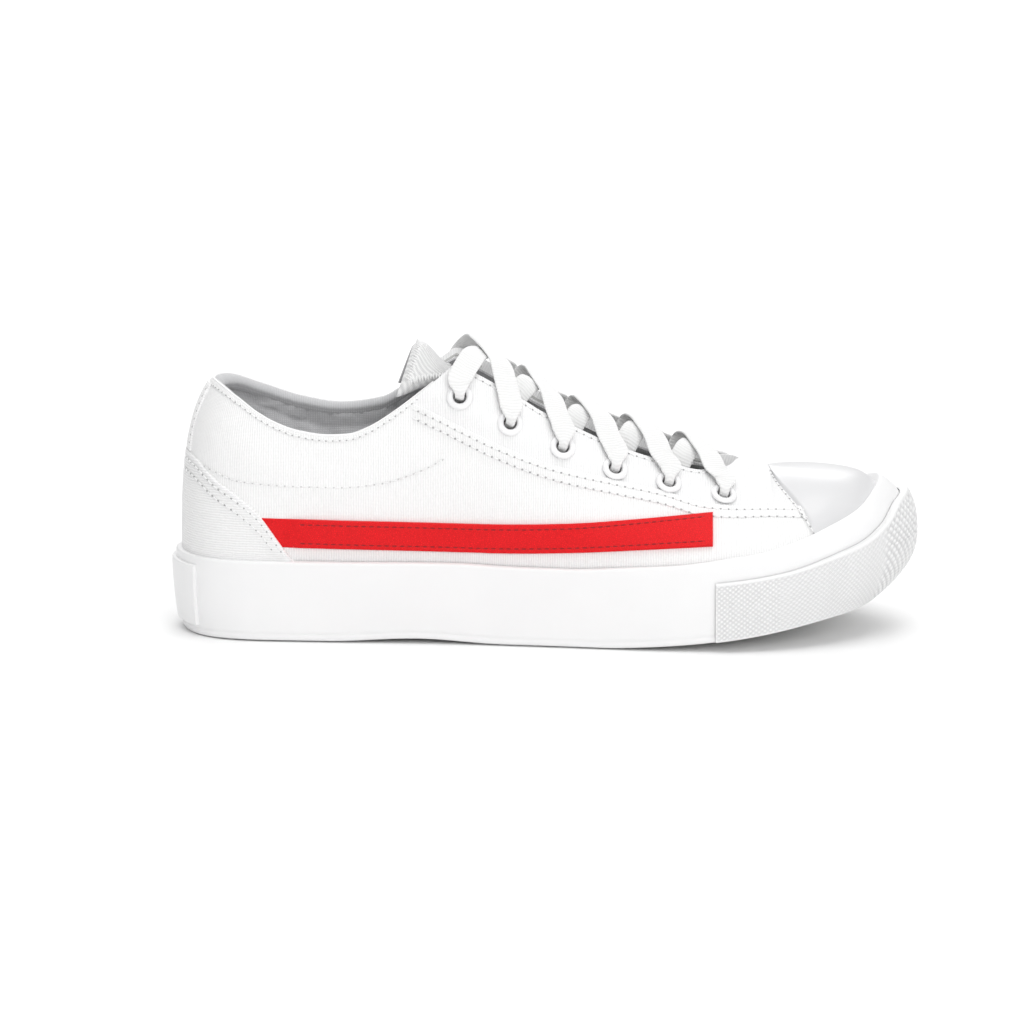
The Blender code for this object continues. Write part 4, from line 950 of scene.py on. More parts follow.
def build_rubber(paints):
    def level(side, place, spots, above, below):
        groove = 0.35 * np.exp(-((below - 2.6) / 0.45) ** 2)
        return FOXING_OUT - groove

    made = shell("foxing_rubber", full_ring(), above_sole(0.8), edge_on(FOXING_TOP), level, FOXING_IN,
                 paints["rubber"], ring=True, soft=0.8, row=0.6)
    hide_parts("foxing_band")
    start = place_of_x(BUMPER_REAR_X)

    def bumper_level(side, place, spots, above, below):
        grow = fade((place - start) / 0.8)
        base = BUMPER_IN + BUMPER_END + (BUMPER_FULL - BUMPER_END) * float(grow)
        run = run_at(side, place)
        tip = float(fade((place - 2.62) / 0.1))
        edge = fade((above - 0.7) / 0.8) * fade((below - 0.5) / 0.8)
        fine = knurl(run, below, 2.05) * 0.36
        coarse = knurl(run, below, 3.3) * 0.75
        return base + edge * (fine * (1.0 - tip) + coarse * tip)

    fine = np.concatenate([np.linspace(start, 2.0, 70), np.linspace(2.0, 3.0, 130)[1:]])
    lateral = [(-1, float(p)) for p in fine]
    places = lateral + [(1, p) for _, p in reversed(lateral)][1:]
    made = shell("toe_bumper_rubber", places, above_sole(1.2), edge_on(BUMPER_TOP), bumper_level,
                 BUMPER_IN - 0.3, paints["knurl"], soft=0.6, row=0.42)
    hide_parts("toe_bumper")

    def patch_low(side, place):
        return column(side, place).at_height(5.0)

    made = shell("heel_patch_rubber", heel_wrap(0.42), patch_low, edge_on(FOXING_TOP, -2.5), BUMPER_IN + 1.0,
                 FOXING_OUT - 0.3, paints["rubber"], soft=0.5)
    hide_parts("heel_patch")


# ---------------------------------------------------------------- eyelets
def lathe(name, frame, section, facets, paint, body=SHOE):
    centre, out, inward, along = frame
    points = []
    for i in range(facets):
        angle = 2.0 * pi * i / facets
        direction = inward * cos(angle) + along * sin(angle)
        for radius, level in section:
            points.append(centre + direction * radius + out * level)
    size = len(section)
    faces = []
    for i in range(facets):
        k = (i + 1) % facets
        for j in range(size):
            m = (j + 1) % size
            faces.append([i * size + j, i * size + m, k * size + m, k * size + j])
    return make(name, points, faces, [paint], body)


def build_eyelets(paints):
    rim = [(3.75 + 1.25 * cos(a), 1.35 + 0.95 * sin(a)) for a in np.linspace(pi, 0.0, 13)]
    section = [(EYELET_BORE, ROLL_HIGH - 0.6), (EYELET_BORE, -3.0), (EYELET_BORE, 0.9)] + rim
    section += [(3.1, 1.3), (3.0, ROLL_HIGH)]
    section += [(3.5, ROLL_HIGH), (3.5, ROLL_HIGH - 0.6)]
    for side, label in ((-1, "lateral"), (1, "medial")):
        for k in range(len(EYELET_X)):
            name = "eyelet_%s_%d" % (label, k + 1)
            made = lathe(name + "_metal", eyelet_frame(side, k), section, 40, paints["eyelet"])
            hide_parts(name)


# ---------------------------------------------------------------- tongue
TONGUE_ROOT_X = 230.0
TONGUE_END_X = 94.0
TONGUE_FLARE_X = 107.0
TONGUE_DEPTH = 5.6
TONGUE_RISE_X = 219.0
TONGUE_RISE_LENGTH = 9.0
TONGUE_ROUNDING = 2.6
TONGUE_END_HEIGHT = 111.5
TONGUE_END_ARCH = 17.0
TONGUE_END_SWEEP = 6.0


def tongue_level(x):
    return TONGUE_TOP + (LINING_IN - 0.8 - TONGUE_TOP) * fade((x - TONGUE_RISE_X) / TONGUE_RISE_LENGTH)


def tongue_point(x, share, depth):
    """Point of the tongue and its normal, at a share (-1..1) of its half width and a depth under its face."""
    off = share * float(TONGUE_WIDTH(x))
    side = -1 if off < 0.0 else 1
    body_x = max(x, TONGUE_FLARE_X)
    place = min(place_of_x(body_x), 2.0)
    here = column(side, place)
    t = here.at_radius(abs(off))
    out = normals(side, place, [t])[0]
    base = here.points(t) + out * (tongue_level(x) - depth)
    if x > TOE_POLE_X:
        base[0] += x - TOE_POLE_X
    if x < TONGUE_FLARE_X:
        mix = fade((TONGUE_FLARE_X - x) / (TONGUE_FLARE_X - TONGUE_END_X))
        end_z = TONGUE_END_HEIGHT - TONGUE_END_ARCH * share * share - 0.8 * depth
        end_x = x - TONGUE_END_SWEEP * share * share - 0.5 * depth
        end = np.array([end_x, float(CENTRE_LINE(x)) + off * (1.0 - 0.03 * depth), end_z])
        body = base + np.array([x - body_x, 0.0, (body_x - x) * 0.45])
        base = body + (end - body) * mix
        out = out * (1.0 - mix) + np.array([0.45, 1.1 * share, 0.75]) * mix
    return base, out / np.linalg.norm(out)


def build_tongue(paints):
    xs = np.concatenate([np.linspace(TONGUE_END_X, 112.0, 26), np.linspace(113.2, TONGUE_ROOT_X, 96)])
    turn = np.linspace(0.0, pi / 2.0, 6)
    rounding = TONGUE_ROUNDING
    half_depth = TONGUE_DEPTH / 2.0
    layers = (("tongue_face_cloth", 1.0, paints["twill"]), ("tongue_lining_cloth", -1.0, paints["lining"]))
    for name, sign, paint in layers:
        points = []
        uvs = []
        for x in xs:
            end = min((x - TONGUE_END_X) / rounding, 1.0)
            lift = sqrt(max(1.0 - (1.0 - end) ** 2, 0.0))
            half = float(TONGUE_WIDTH(x))
            flat = np.linspace(-1.0 + rounding / half, 1.0 - rounding / half, 36)
            edge = rounding / half * (1.0 - np.sin(turn))
            shares = np.concatenate([np.sort(-1.0 + edge), flat[1:-1], np.sort(1.0 - edge)])
            inner = np.minimum((1.0 - np.abs(shares)) * half / rounding, 1.0)
            drops = np.sqrt(np.maximum(1.0 - (1.0 - inner) ** 2, 0.0)) * lift
            for share, full in zip(shares, drops):
                depth = half_depth - sign * half_depth * full
                points.append(tongue_point(float(x), float(share), depth)[0])
                uvs.append((x, share * half))
        wide = len(shares)
        faces = []
        for i in range(len(xs) - 1):
            for j in range(wide - 1):
                a = i * wide + j
                faces.append([a, a + 1, a + wide + 1, a + wide])
        make(name, points, faces, [paint], TONGUE, uvs)
    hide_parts("tongue_face", "tongue_foam")
    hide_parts("tongue_lining")
    serge_tongue(paints)


SERGING_INSET = 2.0
SERGING_LOW_X = 118.0


def serge_tongue(paints):
    """Overlocked edge round the top of the tongue: short threads lying across the edge."""
    first = TONGUE_END_X + SERGING_INSET
    rising = []
    for x in np.linspace(first, SERGING_LOW_X, 60):
        rising.append((float(x), 1.0 - SERGING_INSET / float(TONGUE_WIDTH(x))))
    falling = []
    for x in np.linspace(SERGING_LOW_X, first, 60):
        falling.append((float(x), -1.0 + SERGING_INSET / float(TONGUE_WIDTH(x))))
    reach = 1.0 - SERGING_INSET / float(TONGUE_WIDTH(first))
    across = [(first, float(share)) for share in np.linspace(-reach, reach, 60)[1:-1]]
    path = []
    outs = []
    for x, share in falling + across + rising:
        spot, out = tongue_point(x, share, 0.15)
        path.append(spot)
        outs.append(out)
    spots, heading, normal = even_steps(path, outs, 1.15)
    cross = np.cross(normal, heading)
    slant = cross + 0.25 * heading
    slant /= np.linalg.norm(slant, axis=1)[:, None]
    points, quads = beads(spots, slant, normal, 4.0, 0.62, 0.7)
    make("tongue_serging", points, quads.tolist(), [paints["thread"]], TONGUE, sharp=pi)
    spots, heading, normal = even_steps(path, outs, 2.3)
    cross = np.cross(normal, heading)
    points, quads = beads(spots + cross * -2.3, heading, normal, 1.9, 0.6, 0.7)
    make("tongue_edge_row", points, quads.tolist(), [paints["thread"]], TONGUE, sharp=pi)


# ---------------------------------------------------------------- lace
LACE_OVER_CENTRE = 3.1
LACE_LOW_CENTRE = 1.1
LACE_WIDTH = 9.2
LACE_THICKNESS = 1.25
LACE_BUNCHED_WIDTH = 3.5
LACE_BUNCHED_THICKNESS = 1.8
LACE_STEPS = 14


def eyelet_path(side, k):
    centre, out, inward, _ = eyelet_frame(side, k)
    steps = [
        (6.0, LACE_UNDER, 0.0), (3.4, LACE_UNDER, 0.45), (1.2, LACE_UNDER + 0.1, 0.9),
        (0.1, LACE_UNDER + 1.2, 1.0), (0.0, -2.4, 1.0), (0.0, 0.0, 1.0),
        (0.1, LACE_RIDE - 1.1, 1.0), (1.2, LACE_RIDE, 0.9),
        (3.4, LACE_RIDE, 0.45), (6.5, LACE_RIDE, 0.0),
    ]
    return [(centre + inward * d + out * level, bunch) for d, level, bunch in steps]


def over_skin(x, off, level):
    side = -1 if off < 0.0 else 1
    place = place_of_x(x)
    return skin(side, place, column(side, place).at_radius(abs(off)), level)


def crossing(side, k, over):
    x0 = EYELET_X[k]
    x1 = EYELET_X[k - 1]
    middle = LACE_OVER_CENTRE if over else LACE_LOW_CENTRE
    reach = eyelet_radius(k) + eyelet_radius(k - 1)
    start = eyelet_radius(k) - 9.0
    levels = [(-start, LACE_RIDE - 0.2), (-12.5, middle + 0.4), (-6.5, middle), (0.0, middle), (6.5, middle)]
    if k == 1:
        levels += [(12.5, middle + 0.4), (eyelet_radius(0) - 9.0, LACE_RIDE - 0.2)]
    else:
        levels += [(10.0, middle - 1.4), (13.3, -3.6), (16.0, LACE_UNDER + 0.5)]
    out = []
    for off, level in levels:
        share = (off + eyelet_radius(k)) / reach
        out.append((over_skin(x0 + (x1 - x0) * share, -side * off, level), 0.0))
    return out


def tuck_in(side):
    centre, out, inward, _ = eyelet_frame(side, 0)
    steps = [
        (6.5, LACE_RIDE, 0.0), (3.4, LACE_RIDE, 0.45), (1.2, LACE_RIDE, 0.9), (0.1, LACE_RIDE - 1.1, 1.0),
        (0.0, 0.0, 1.0), (0.0, -2.4, 1.0), (-0.1, LACE_UNDER + 1.2, 1.0), (-1.2, LACE_UNDER + 0.1, 0.9),
        (-3.4, LACE_UNDER, 0.45),
    ]
    path = [(centre + inward * d + out * level, bunch) for d, level, bunch in steps]
    for x, height in ((112, 84), (115, 78), (120, 72), (127, 67)):
        place = place_of_x(x)
        path.append((skin(side, place, column(side, place).at_height(height), LACE_UNDER), 0.0))
    return path


def lace_path():
    last = len(EYELET_X) - 1
    halves = []
    for side in (-1, 1):
        here = side
        run = eyelet_path(here, last)
        for k in range(last, 0, -1):
            run += crossing(here, k, here < 0)
            here = -here
            run += eyelet_path(here, k - 1) if k > 1 else tuck_in(here)
        halves.append(run)
    bar = [(over_skin(EYELET_X[last], off, LACE_UNDER), 0.0) for off in (-13.0, -6.0, 0.0, 6.0, 13.0)]
    return list(reversed(halves[0])) + bar + halves[1]


def smooth_path(path, steps):
    pts = np.array([p for p, _ in path])
    grip = np.array([b for _, b in path])
    rows = np.concatenate([pts, grip[:, None]], axis=1)
    rows = np.concatenate([2 * rows[:1] - rows[1:2], rows, 2 * rows[-1:] - rows[-2:-1]])
    out = []
    for i in range(1, len(rows) - 2):
        p0, p1, p2, p3 = rows[i - 1:i + 3]
        gaps = [max(np.linalg.norm((b - a)[:3]), 1e-6) ** 0.5 for a, b in ((p0, p1), (p1, p2), (p2, p3))]
        m1 = (p1 - p0) / gaps[0] - (p2 - p0) / (gaps[0] + gaps[1]) + (p2 - p1) / gaps[1]
        m2 = (p2 - p1) / gaps[1] - (p3 - p1) / (gaps[1] + gaps[2]) + (p3 - p2) / gaps[2]
        m1 = m1 * gaps[1]
        m2 = m2 * gaps[1]
        for j in range(steps):
            u = j / steps
            out.append((2 * u ** 3 - 3 * u * u + 1) * p1 + (u ** 3 - 2 * u * u + u) * m1
                       + (3 * u * u - 2 * u ** 3) * p2 + (u ** 3 - u * u) * m2)
    out.append(rows[-2])
    return np.array(out)


def build_lace(paints):
    rows = smooth_path(lace_path(), LACE_STEPS)
    centres = rows[:, :3]
    bunch = np.clip(rows[:, 3], 0.0, 1.0)
    along = np.gradient(centres, axis=0)
    along /= np.linalg.norm(along, axis=1)[:, None]
    lengths = np.concatenate([[0.0], np.cumsum(np.linalg.norm(np.diff(centres, axis=0), axis=1))])
    turn = np.linspace(0.0, 2.0 * pi, 20, endpoint=False)
    wide_share = np.sign(np.cos(turn)) * np.abs(np.cos(turn)) ** 0.45
    thick_share = np.sign(np.sin(turn)) * np.abs(np.sin(turn)) ** 0.6
    points = []
    uvs = []
    for centre, tangent, grip, length in zip(centres, along, bunch, lengths):
        slope = (float(SPINE(centre[0] + 4.0)) - float(SPINE(centre[0] - 4.0))) / 8.0
        wide = np.array([1.0, 0.0, 0.85 * slope])
        wide = wide - tangent * float(wide @ tangent)
        wide /= np.linalg.norm(wide)
        thick = np.cross(tangent, wide)
        half_w = (LACE_WIDTH + (LACE_BUNCHED_WIDTH - LACE_WIDTH) * grip) / 2.0
        half_t = (LACE_THICKNESS + (LACE_BUNCHED_THICKNESS - LACE_THICKNESS) * grip) / 2.0
        for a, b in zip(wide_share, thick_share):
            points.append(centre + wide * half_w * a + thick * half_t * b)
            uvs.append((length, a * LACE_WIDTH / 2.0))
    size = len(turn)
    faces = tube_faces(len(centres), size)
    last = (len(centres) - 1) * size
    faces.append(list(range(size)))
    faces.append([last + j for j in range(size)])
    made = make("lace_braid", points, faces, [paints["lace"]], SHOE, uvs)
    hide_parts("lace")
    for label, end, before in (("lateral", 0, LACE_STEPS), ("medial", -1, -1 - LACE_STEPS)):
        tip = centres[end]
        heading = tip - centres[before]
        heading /= np.linalg.norm(heading)
        build_aglet(label, tip + heading * 0.3, heading, paints)


def build_aglet(label, start, heading, paints):
    side = np.cross(heading, np.array([0.0, 0.0, 1.0]))
    side /= np.linalg.norm(side)
    other = np.cross(heading, side)
    points = []
    facets = 24
    profile = [(0.0, 0.86), (0.25, 0.97), (0.6, 1.0), (19.6, 1.0), (20.6, 0.93), (21.4, 0.78), (22.0, 0.5)]
    for distance, scale in profile:
        for i in range(facets):
            angle = 2.0 * pi * i / facets
            ring = side * cos(angle) * 1.6 * scale + other * sin(angle) * 1.12 * scale
            points.append(start + heading * distance + ring)
    faces = [list(range(facets))] + tube_faces(len(profile), facets)
    faces.append([(len(profile) - 1) * facets + j for j in range(facets)])
    made = make("aglet_%s_tip" % label, points, faces, [paints["plastic"]], SHOE)
    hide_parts("aglet_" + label)


# ---------------------------------------------------------------- footbed
def build_sockliner(paints):
    """Cloth-covered footbed with a rounded edge."""
    margin = (-LINING_IN + 0.8) * 1.15 + 0.4
    base = 5.0 + 0.6 + 4.0 + 0.6 + 2.0 + 0.6
    top = base + 3.5
    ring = full_ring()
    rows = 26
    section = [(1.0, base), (1.0, top - 0.6), (0.985, top)]
    section += [(share, top) for share in np.linspace(0.965, 0.0, rows)]
    points = []
    uvs = []
    for side, place in ring:
        here = column(side, place)
        x = here.rim[0]
        for _ in range(6):
            t = here.at_height(float(SOLE_BOTTOM(x)) + top)
            rim = float(here.radius_height(t)[0]) - margin
            x = here.pole[0] + here.direction[0] * rim
        for share, height in section:
            xy = here.pole + here.direction * (rim * share)
            points.append([xy[0], xy[1], float(SOLE_BOTTOM(xy[0])) + height])
            uvs.append((xy[0], xy[1]))
    size = rows + 3
    count = len(ring)
    faces = []
    for i in range(count):
        for j in range(size - 1):
            a = i * size
            b = ((i + 1) % count) * size
            faces.append([a + j, b + j, b + j + 1, a + j + 1])
    made = make("sockliner_cloth", points, faces, [paints["footbed"]], SHOE, uvs)
    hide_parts("sockliner")


# ---------------------------------------------------------------- materials
TAU = 2.0 * pi


class Paint:
    """Node tree of one material, with short calls for the nodes used over and over."""

    def __init__(self, name, roughness, specular=0.5, sheen=0.0, coat=0.0):
        self.made = bpy.data.materials.new(name)
        self.made.use_nodes = True
        self.tree = self.made.node_tree
        self.shader = self.tree.nodes["Principled BSDF"]
        self.set(self.shader, "Roughness", roughness)
        self.set(self.shader, "Specular IOR Level", specular)
        self.set(self.shader, "Sheen Weight", sheen)
        self.set(self.shader, "Coat Weight", coat)
        self.coords = self.tree.nodes.new("ShaderNodeTexCoord")
        self.normal = None

    def set(self, node, name, value):
        node.inputs[name].default_value = value

    def link(self, source, target):
        self.tree.links.new(source, target)

    def math(self, kind, a, b=0.0):
        node = self.tree.nodes.new("ShaderNodeMath")
        node.operation = kind
        for slot, value in zip(node.inputs, (a, b)):
            if isinstance(value, (int, float)):
                slot.default_value = value
            else:
                self.link(value, slot)
        return node.outputs[0]

    def blend(self, first, first_part, second, second_part):
        """Weighted sum of two values."""
        return self.math("ADD", self.math("MULTIPLY", first, first_part),
                         self.math("MULTIPLY", second, second_part))

    def noise(self, scale, detail=3.0, stretch=(1.0, 1.0, 1.0)):
        mapping = self.tree.nodes.new("ShaderNodeMapping")
        mapping.inputs["Scale"].default_value = stretch
        self.link(self.coords.outputs["Object"], mapping.inputs["Vector"])
        node = self.tree.nodes.new("ShaderNodeTexNoise")
        node.inputs["Scale"].default_value = scale
        node.inputs["Detail"].default_value = detail
        self.link(mapping.outputs[0], node.inputs["Vector"])
        return node.outputs["Fac"]

    def cells(self, scale):
        node = self.tree.nodes.new("ShaderNodeTexVoronoi")
        node.feature = "DISTANCE_TO_EDGE"
        node.inputs["Scale"].default_value = scale
        self.link(self.coords.outputs["Object"], node.inputs["Vector"])
        return node.outputs["Distance"]

    def pattern(self, axis):
        """Pattern coordinate along the outline (0) or up the profile (1), in metres."""
        split = self.tree.nodes.new("ShaderNodeSeparateXYZ")
        self.link(self.coords.outputs["UV"], split.inputs[0])
        return split.outputs[axis]

    def ribs(self, coordinate, pitch, wander=0.0):
        """Smooth 0..1 ridges at an even pitch in metres."""
        if wander:
            shift = self.math("MULTIPLY", self.noise(220.0, 2.0), wander * pitch)
            coordinate = self.math("ADD", coordinate, shift)
        wave = self.math("SINE", self.math("MULTIPLY", coordinate, TAU / pitch))
        return self.math("ADD", self.math("MULTIPLY", wave, 0.5), 0.5)

    def mix(self, first, second, share):
        node = self.tree.nodes.new("ShaderNodeMix")
        node.data_type = "RGBA"
        node.inputs["A"].default_value = (*first, 1.0)
        node.inputs["B"].default_value = (*second, 1.0)
        self.link(share, node.inputs["Factor"])
        return node.outputs["Result"]

    def colour(self, value):
        self.link(value, self.shader.inputs["Base Color"])

    def rough(self, low, high, share):
        value = self.math("ADD", self.math("MULTIPLY", share, high - low), low)
        self.link(value, self.shader.inputs["Roughness"])

    def bump(self, height, distance, strength=1.0):
        node = self.tree.nodes.new("ShaderNodeBump")
        node.inputs["Distance"].default_value = distance
        node.inputs["Strength"].default_value = strength
        self.link(height, node.inputs["Height"])
        if self.normal is not None:
            self.link(self.normal, node.inputs["Normal"])
        self.normal = node.outputs["Normal"]
        self.link(self.normal, self.shader.inputs["Normal"])


CANVAS_PITCH = 0.00095


def canvas_paint(name, across, light=(0.88, 0.88, 0.878), dark=(0.74, 0.74, 0.74)):
    """Plain-woven cotton with thick ribs; across picks the pattern axis that the ribs are spaced along."""
    made = Paint(name, 0.88, 0.25, sheen=0.25)
    rib = made.ribs(made.pattern(across), CANVAS_PITCH, 0.5)
    pick = made.ribs(made.pattern(1 - across), CANVAS_PITCH * 0.55, 0.6)
    weave = made.blend(rib, 0.7, pick, 0.3)
    slub = made.noise(900.0, 4.0)
    height = made.math("ADD", weave, made.math("MULTIPLY", slub, 0.55))
    # The colour darkens in the low gaps of the weave: painted shade; the slub noise adds the cotton's own
    # uneven tone.
    made.colour(made.mix(dark, light, made.math("MULTIPLY", height, 0.85)))
    made.bump(made.noise(45.0, 2.0), 0.0006, 0.35)
    made.bump(height, 0.00012, 0.9)
    return made.made


def rubber_paint(name, light, dark, low=0.38, high=0.55, grain=0.00004, grooves=False):
    made = Paint(name, 0.45, 0.45, coat=0.05)
    # Random mottle of the rubber's own tone; when grooves is set, painted groove shade replaces it below.
    shade = made.noise(22.0, 4.0)
    # With grooves set, the colour darkens where the surface is hollow (low pointiness) in the knurl grooves:
    # painted shade.
    if grooves:
        geometry = made.tree.nodes.new("ShaderNodeNewGeometry")
        crease_shade = made.math("MULTIPLY", made.math("SUBTRACT", geometry.outputs["Pointiness"], 0.44), 9.0)
        shade = made.math("MINIMUM", made.math("MAXIMUM", crease_shade, 0.0), 1.0)
    made.colour(made.mix(dark, light, shade))
    made.rough(low, high, made.noise(140.0, 3.0))
    made.bump(made.noise(30.0, 2.0), 0.0004, 0.25)
    made.bump(made.noise(2600.0, 3.0), grain, 0.6)
    return made.made


def leather_paint():
    made = Paint("red_leather_grain", 0.45, 0.25)
    grain = made.cells(1500.0)
    fine = made.noise(3800.0, 4.0)
    made.colour(made.mix((0.50, 0.0, 0.002), (0.86, 0.005, 0.010), made.blend(grain, 1.6, fine, 0.6)))
    made.rough(0.4, 0.6, fine)
    made.bump(made.math("MINIMUM", made.math("MULTIPLY", grain, 3.0), 1.0), 0.00007, 0.7)
    made.bump(fine, 0.00003, 0.5)
    return made.made


def thread_paint(name, light, dark):
    made = Paint(name, 0.7, 0.3, sheen=0.2)
    strand = made.noise(2400.0, 2.0, (1.0, 0.35, 1.0))
    made.colour(made.mix(dark, light, strand))
    made.bump(strand, 0.000072, 0.7)
    return made.made


def lace_paint():
    """Flat braid: cross ribs with slanting strands."""
    made = Paint("cotton_braid", 0.82, 0.25, sheen=0.3)
    along = made.pattern(0)
    across = made.math("ABSOLUTE", made.pattern(1))
    slant = made.math("ADD", along, made.math("MULTIPLY", across, 0.12))
    rib = made.ribs(slant, 0.0012, 0.3)
    strand = made.ribs(made.math("SUBTRACT", along, made.math("MULTIPLY", across, 1.6)), 0.0009, 0.2)
    height = made.blend(rib, 0.75, strand, 0.25)
    # The colour darkens in the low gaps between ribs and strands: painted shade.
    made.colour(made.mix((0.72, 0.72, 0.72), (0.82, 0.82, 0.815), made.math("POWER", height, 0.6)))
    made.bump(height, 0.00016, 0.8)
    made.bump(made.noise(2600.0, 3.0), 0.00005, 0.7)
    return made.made


def twill_paint():
    """Tongue cloth with slanting twill lines."""
    made = Paint("tongue_twill", 0.9, 0.2, sheen=0.3)
    slant = made.math("ADD", made.pattern(0), made.math("MULTIPLY", made.pattern(1), 0.8))
    line = made.ribs(slant, 0.0013, 0.3)
    pick = made.ribs(made.math("SUBTRACT", made.pattern(0), made.pattern(1)), 0.00075, 0.4)
    height = made.blend(line, 0.7, pick, 0.3)
    # The colour darkens in the low gaps between twill lines: painted shade.
    made.colour(made.mix((0.60, 0.60, 0.605), (0.82, 0.82, 0.815), height))
    made.bump(height, 0.00025, 1.0)
    return made.made


def lining_paint(name, light, dark, scale=1100.0):
    """Brushed knit lining."""
    made = Paint(name, 0.95, 0.15, sheen=0.35)
    loops = made.ribs(made.pattern(0), 0.0009, 0.4)
    rows = made.ribs(made.pattern(1), 0.0007, 0.4)
    fuzz = made.noise(scale, 4.0)
    height = made.blend(made.math("MULTIPLY", loops, rows), 0.6, fuzz, 0.5)
    # The colour darkens between the knit loops: painted shade; the fuzz noise adds the cloth's own uneven
    # tone.
    made.colour(made.mix(dark, light, height))
    made.bump(made.noise(60.0, 2.0), 0.0008, 0.4)
    made.bump(height, 0.00014, 0.8)
    return made.made


def board_paint(name, light, dark, scale):
    made = Paint(name, 0.9, 0.2)
    fibre = made.noise(scale, 5.0, (1.0, 3.0, 1.0))
    made.colour(made.mix(dark, light, fibre))
    made.bump(fibre, 0.0002, 0.7)
    return made.made


def metal_paint():
    made = Paint("painted_eyelet", 0.22, 0.6, coat=0.5)
    speck = made.noise(500.0, 4.0)
    made.colour(made.mix((0.74, 0.74, 0.75), (0.88, 0.88, 0.88), speck))
    made.rough(0.15, 0.32, speck)
    made.bump(speck, 0.00002, 0.4)
    return made.made


def hole_paint(name, value):
    # Dark colour of the needle-hole beads: painted shade in the holes, with a faint speckle.
    made = Paint(name, 0.95, 0.1)
    speck = made.noise(1500.0, 2.0)
    made.colour(made.mix([value] * 3, [value * 1.3] * 3, speck))
    return made.made


def all_paints():
    return {
        "canvas": canvas_paint("ribbed_canvas", 0),
        "eyestay": canvas_paint("ribbed_canvas_eyestay", 0, (0.87, 0.87, 0.87), (0.73, 0.73, 0.735)),
        "counter": canvas_paint("ribbed_canvas_counter", 1, (0.86, 0.86, 0.86), (0.71, 0.71, 0.71)),
        "toe": rubber_paint("smooth_toe_film", (0.69, 0.69, 0.695), (0.65, 0.65, 0.66), 0.28, 0.4, 0.00002),
        "rubber": rubber_paint("moulded_white_rubber", (0.85, 0.85, 0.85), (0.80, 0.80, 0.805)),
        # The knurled rubber's dark colour is the painted shade in its grooves.
        "knurl": rubber_paint("knurled_white_rubber", (0.86, 0.86, 0.86), (0.58, 0.58, 0.585), 0.42, 0.6,
                              0.00005, True),
        "sole": rubber_paint("outsole_rubber", (0.80, 0.80, 0.79), (0.70, 0.70, 0.69), 0.5, 0.7, 0.00009),
        "leather": leather_paint(),
        "thread": thread_paint("white_thread", (0.90, 0.90, 0.90), (0.72, 0.72, 0.72)),
        "red_thread": thread_paint("red_thread", (0.42, 0.004, 0.007), (0.20, 0.002, 0.004)),
        # The three hole colours are painted shade in the needle holes.
        "hole": hole_paint("needle_hole", 0.34),
        "faint_hole": hole_paint("faint_needle_hole", 0.5),
        "red_hole": hole_paint("red_needle_hole", 0.05),
        "lining": lining_paint("grey_lining", (0.62, 0.62, 0.63), (0.44, 0.44, 0.45)),
        "grip": lining_paint("napped_grip", (0.60, 0.60, 0.60), (0.42, 0.42, 0.42), 1900.0),
        "footbed": lining_paint("footbed_cloth", (0.66, 0.66, 0.66), (0.50, 0.50, 0.50), 1500.0),
        "tape": thread_paint("satin_piping", (0.93, 0.93, 0.93), (0.80, 0.80, 0.80)),
        "twill": twill_paint(),
        "lace": lace_paint(),
        "eyelet": metal_paint(),
        "plastic": rubber_paint("clear_tip_plastic", (0.82, 0.82, 0.83), (0.78, 0.78, 0.785), 0.12, 0.2,
                                0.00001),
        "board": board_paint("fibreboard", (0.55, 0.44, 0.31), (0.40, 0.31, 0.21), 320.0),
        "foam": board_paint("open_foam", (0.80, 0.77, 0.66), (0.62, 0.59, 0.50), 1400.0),
        "pad": lining_paint("slide_microfibre", (0.56, 0.56, 0.55), (0.40, 0.40, 0.39), 2400.0),
    }


# Looks of the CAD nodes that stay as they are, inside or under the shoe.
HIDDEN = {
    "collar_foam": "foam", "eyelet_facing_lateral": "pad", "eyelet_facing_medial": "pad",
    "heel_stiffener": "board", "insole_board": "board", "midsole_filler": "foam", "toe_puff": "board",
    "outsole": "sole",
    "heel_brake_pad": "sole", "slide_pad": "pad",
}


def finish_cad_nodes(paints):
    for name, look in HIDDEN.items():
        node = frame["nodes"][name]
        node.data.materials.clear()
        node.data.materials.append(paints[look])


# ---------------------------------------------------------------- studio
FLOOR_GLOW_START = 0.5
FLOOR_GLOW_END = 3.0
FLOOR_GLOW = 0.75


def floor_paint():
    made = Paint("studio_floor", 0.9, 0.1)
    made.colour(made.mix((0.90, 0.90, 0.90), (0.93, 0.93, 0.93), made.noise(2.0, 2.0)))
    where = made.tree.nodes.new("ShaderNodeVectorMath")
    where.operation = "LENGTH"
    made.link(made.coords.outputs["Object"], where.inputs[0])
    far = made.tree.nodes.new("ShaderNodeMapRange")
    far.inputs["From Min"].default_value = FLOOR_GLOW_START
    far.inputs["From Max"].default_value = FLOOR_GLOW_END
    far.inputs["To Max"].default_value = FLOOR_GLOW
    made.link(where.outputs["Value"], far.inputs["Value"])
    made.set(made.shader, "Emission Color", (1.0, 1.0, 1.0, 1.0))
    made.link(far.outputs["Result"], made.shader.inputs["Emission Strength"])
    return made.made


def soft_light(name, place, aim, size, power):
    data = bpy.data.lights.new(name, "AREA")
    data.shape = "RECTANGLE"
    data.size = size[0]
    data.size_y = size[1]
    data.energy = power
    made = bpy.data.objects.new(name, data)
    bpy.context.scene.collection.objects.link(made)
    made.location = place
    made.rotation_euler = (Vector(aim) - Vector(place)).to_track_quat("-Z", "Y").to_euler()


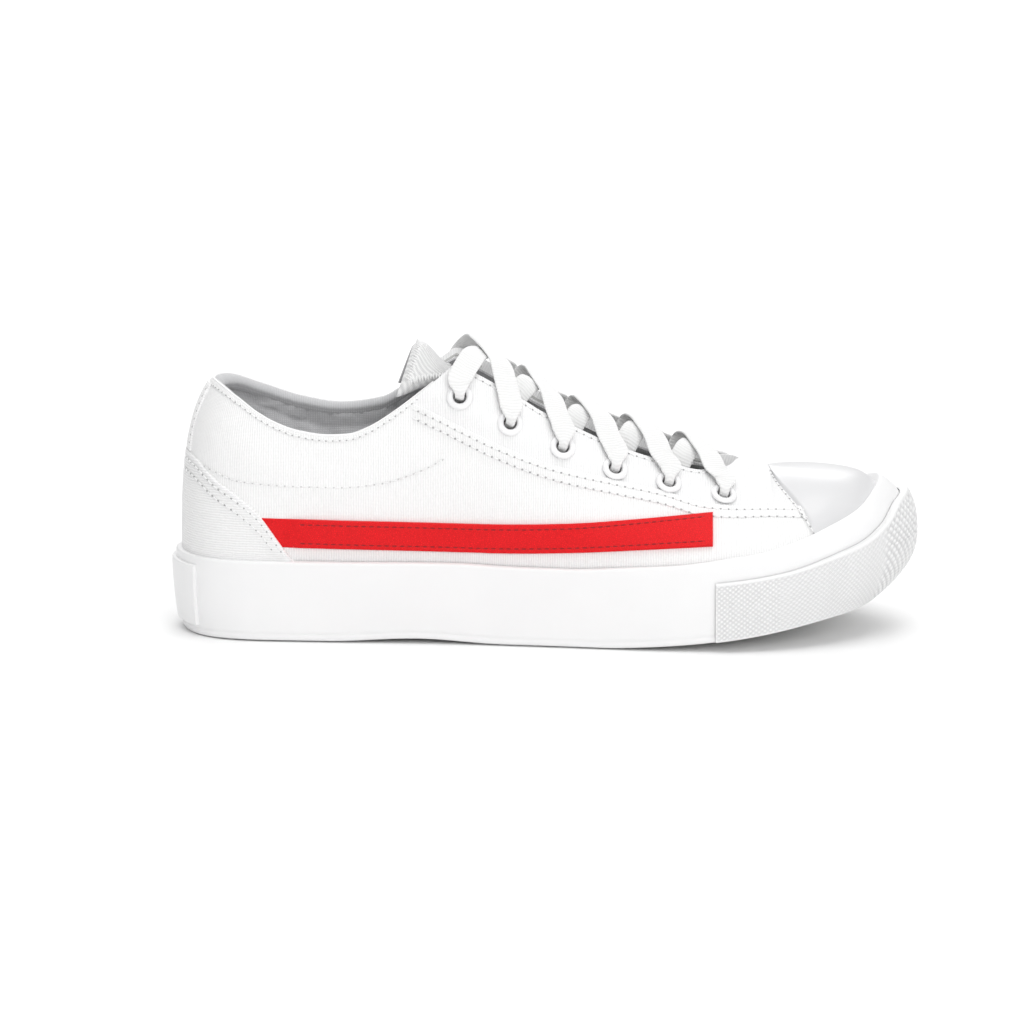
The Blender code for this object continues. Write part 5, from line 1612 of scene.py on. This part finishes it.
SKY_LIGHT = 0.62
SKY_SEEN = 1.0
FLOOR_HALF = 12.0
CAMERA_PLACE = Vector((-0.0127, -1.963, 0.426))
CAMERA_AIM = Vector((-0.0127, 0.0, 0.0443))


def build_studio():
    half = FLOOR_HALF
    mesh = bpy.data.meshes.new("floor")
    corners = [(-half, -half, 0.0), (half, -half, 0.0), (half, half, 0.0), (-half, half, 0.0)]
    mesh.from_pydata(corners, [], [(0, 1, 2, 3)])
    mesh.materials.append(floor_paint())
    floor = bpy.data.objects.new("floor", mesh)
    bpy.context.scene.collection.objects.link(floor)
    soft_light("overhead", (0.15, -0.25, 1.5), (0.0, 0.0, 0.03), (1.3, 1.0), 9.5)
    soft_light("front", (0.5, -1.6, 0.75), (0.0, 0.0, 0.04), (1.0, 0.7), 10.0)
    soft_light("behind", (-0.1, 1.1, 0.9), (0.0, 0.0, 0.05), (1.2, 0.6), 7.0)
    world = bpy.data.worlds.new("studio")
    world.use_nodes = True
    tree = world.node_tree
    sky = tree.nodes["Background"]
    sky.inputs["Color"].default_value = (1.0, 1.0, 1.0, 1.0)
    rays = tree.nodes.new("ShaderNodeLightPath")
    strength = tree.nodes.new("ShaderNodeMapRange")
    strength.inputs["To Min"].default_value = SKY_LIGHT
    strength.inputs["To Max"].default_value = SKY_SEEN
    tree.links.new(rays.outputs["Is Camera Ray"], strength.inputs["Value"])
    tree.links.new(strength.outputs["Result"], sky.inputs["Strength"])
    bpy.context.scene.world = world
    data = bpy.data.cameras.new("camera")
    data.lens = 183.0
    data.sensor_width = 36.0
    camera = bpy.data.objects.new("camera", data)
    bpy.context.scene.collection.objects.link(camera)
    camera.location = CAMERA_PLACE
    camera.rotation_euler = (CAMERA_AIM - CAMERA_PLACE).to_track_quat("-Z", "Y").to_euler()
    bpy.context.scene.camera = camera
    bpy.context.scene.view_settings.view_transform = "Standard"


def build_all():
    paints = all_paints()
    builders = (build_quarters, build_front, build_heel, build_stripes, build_linings, build_binding,
                build_rubber, build_eyelets, build_tongue, build_lace, build_sockliner, finish_cad_nodes)
    for build in builders:
        build(paints)
    build_studio()


build_all()
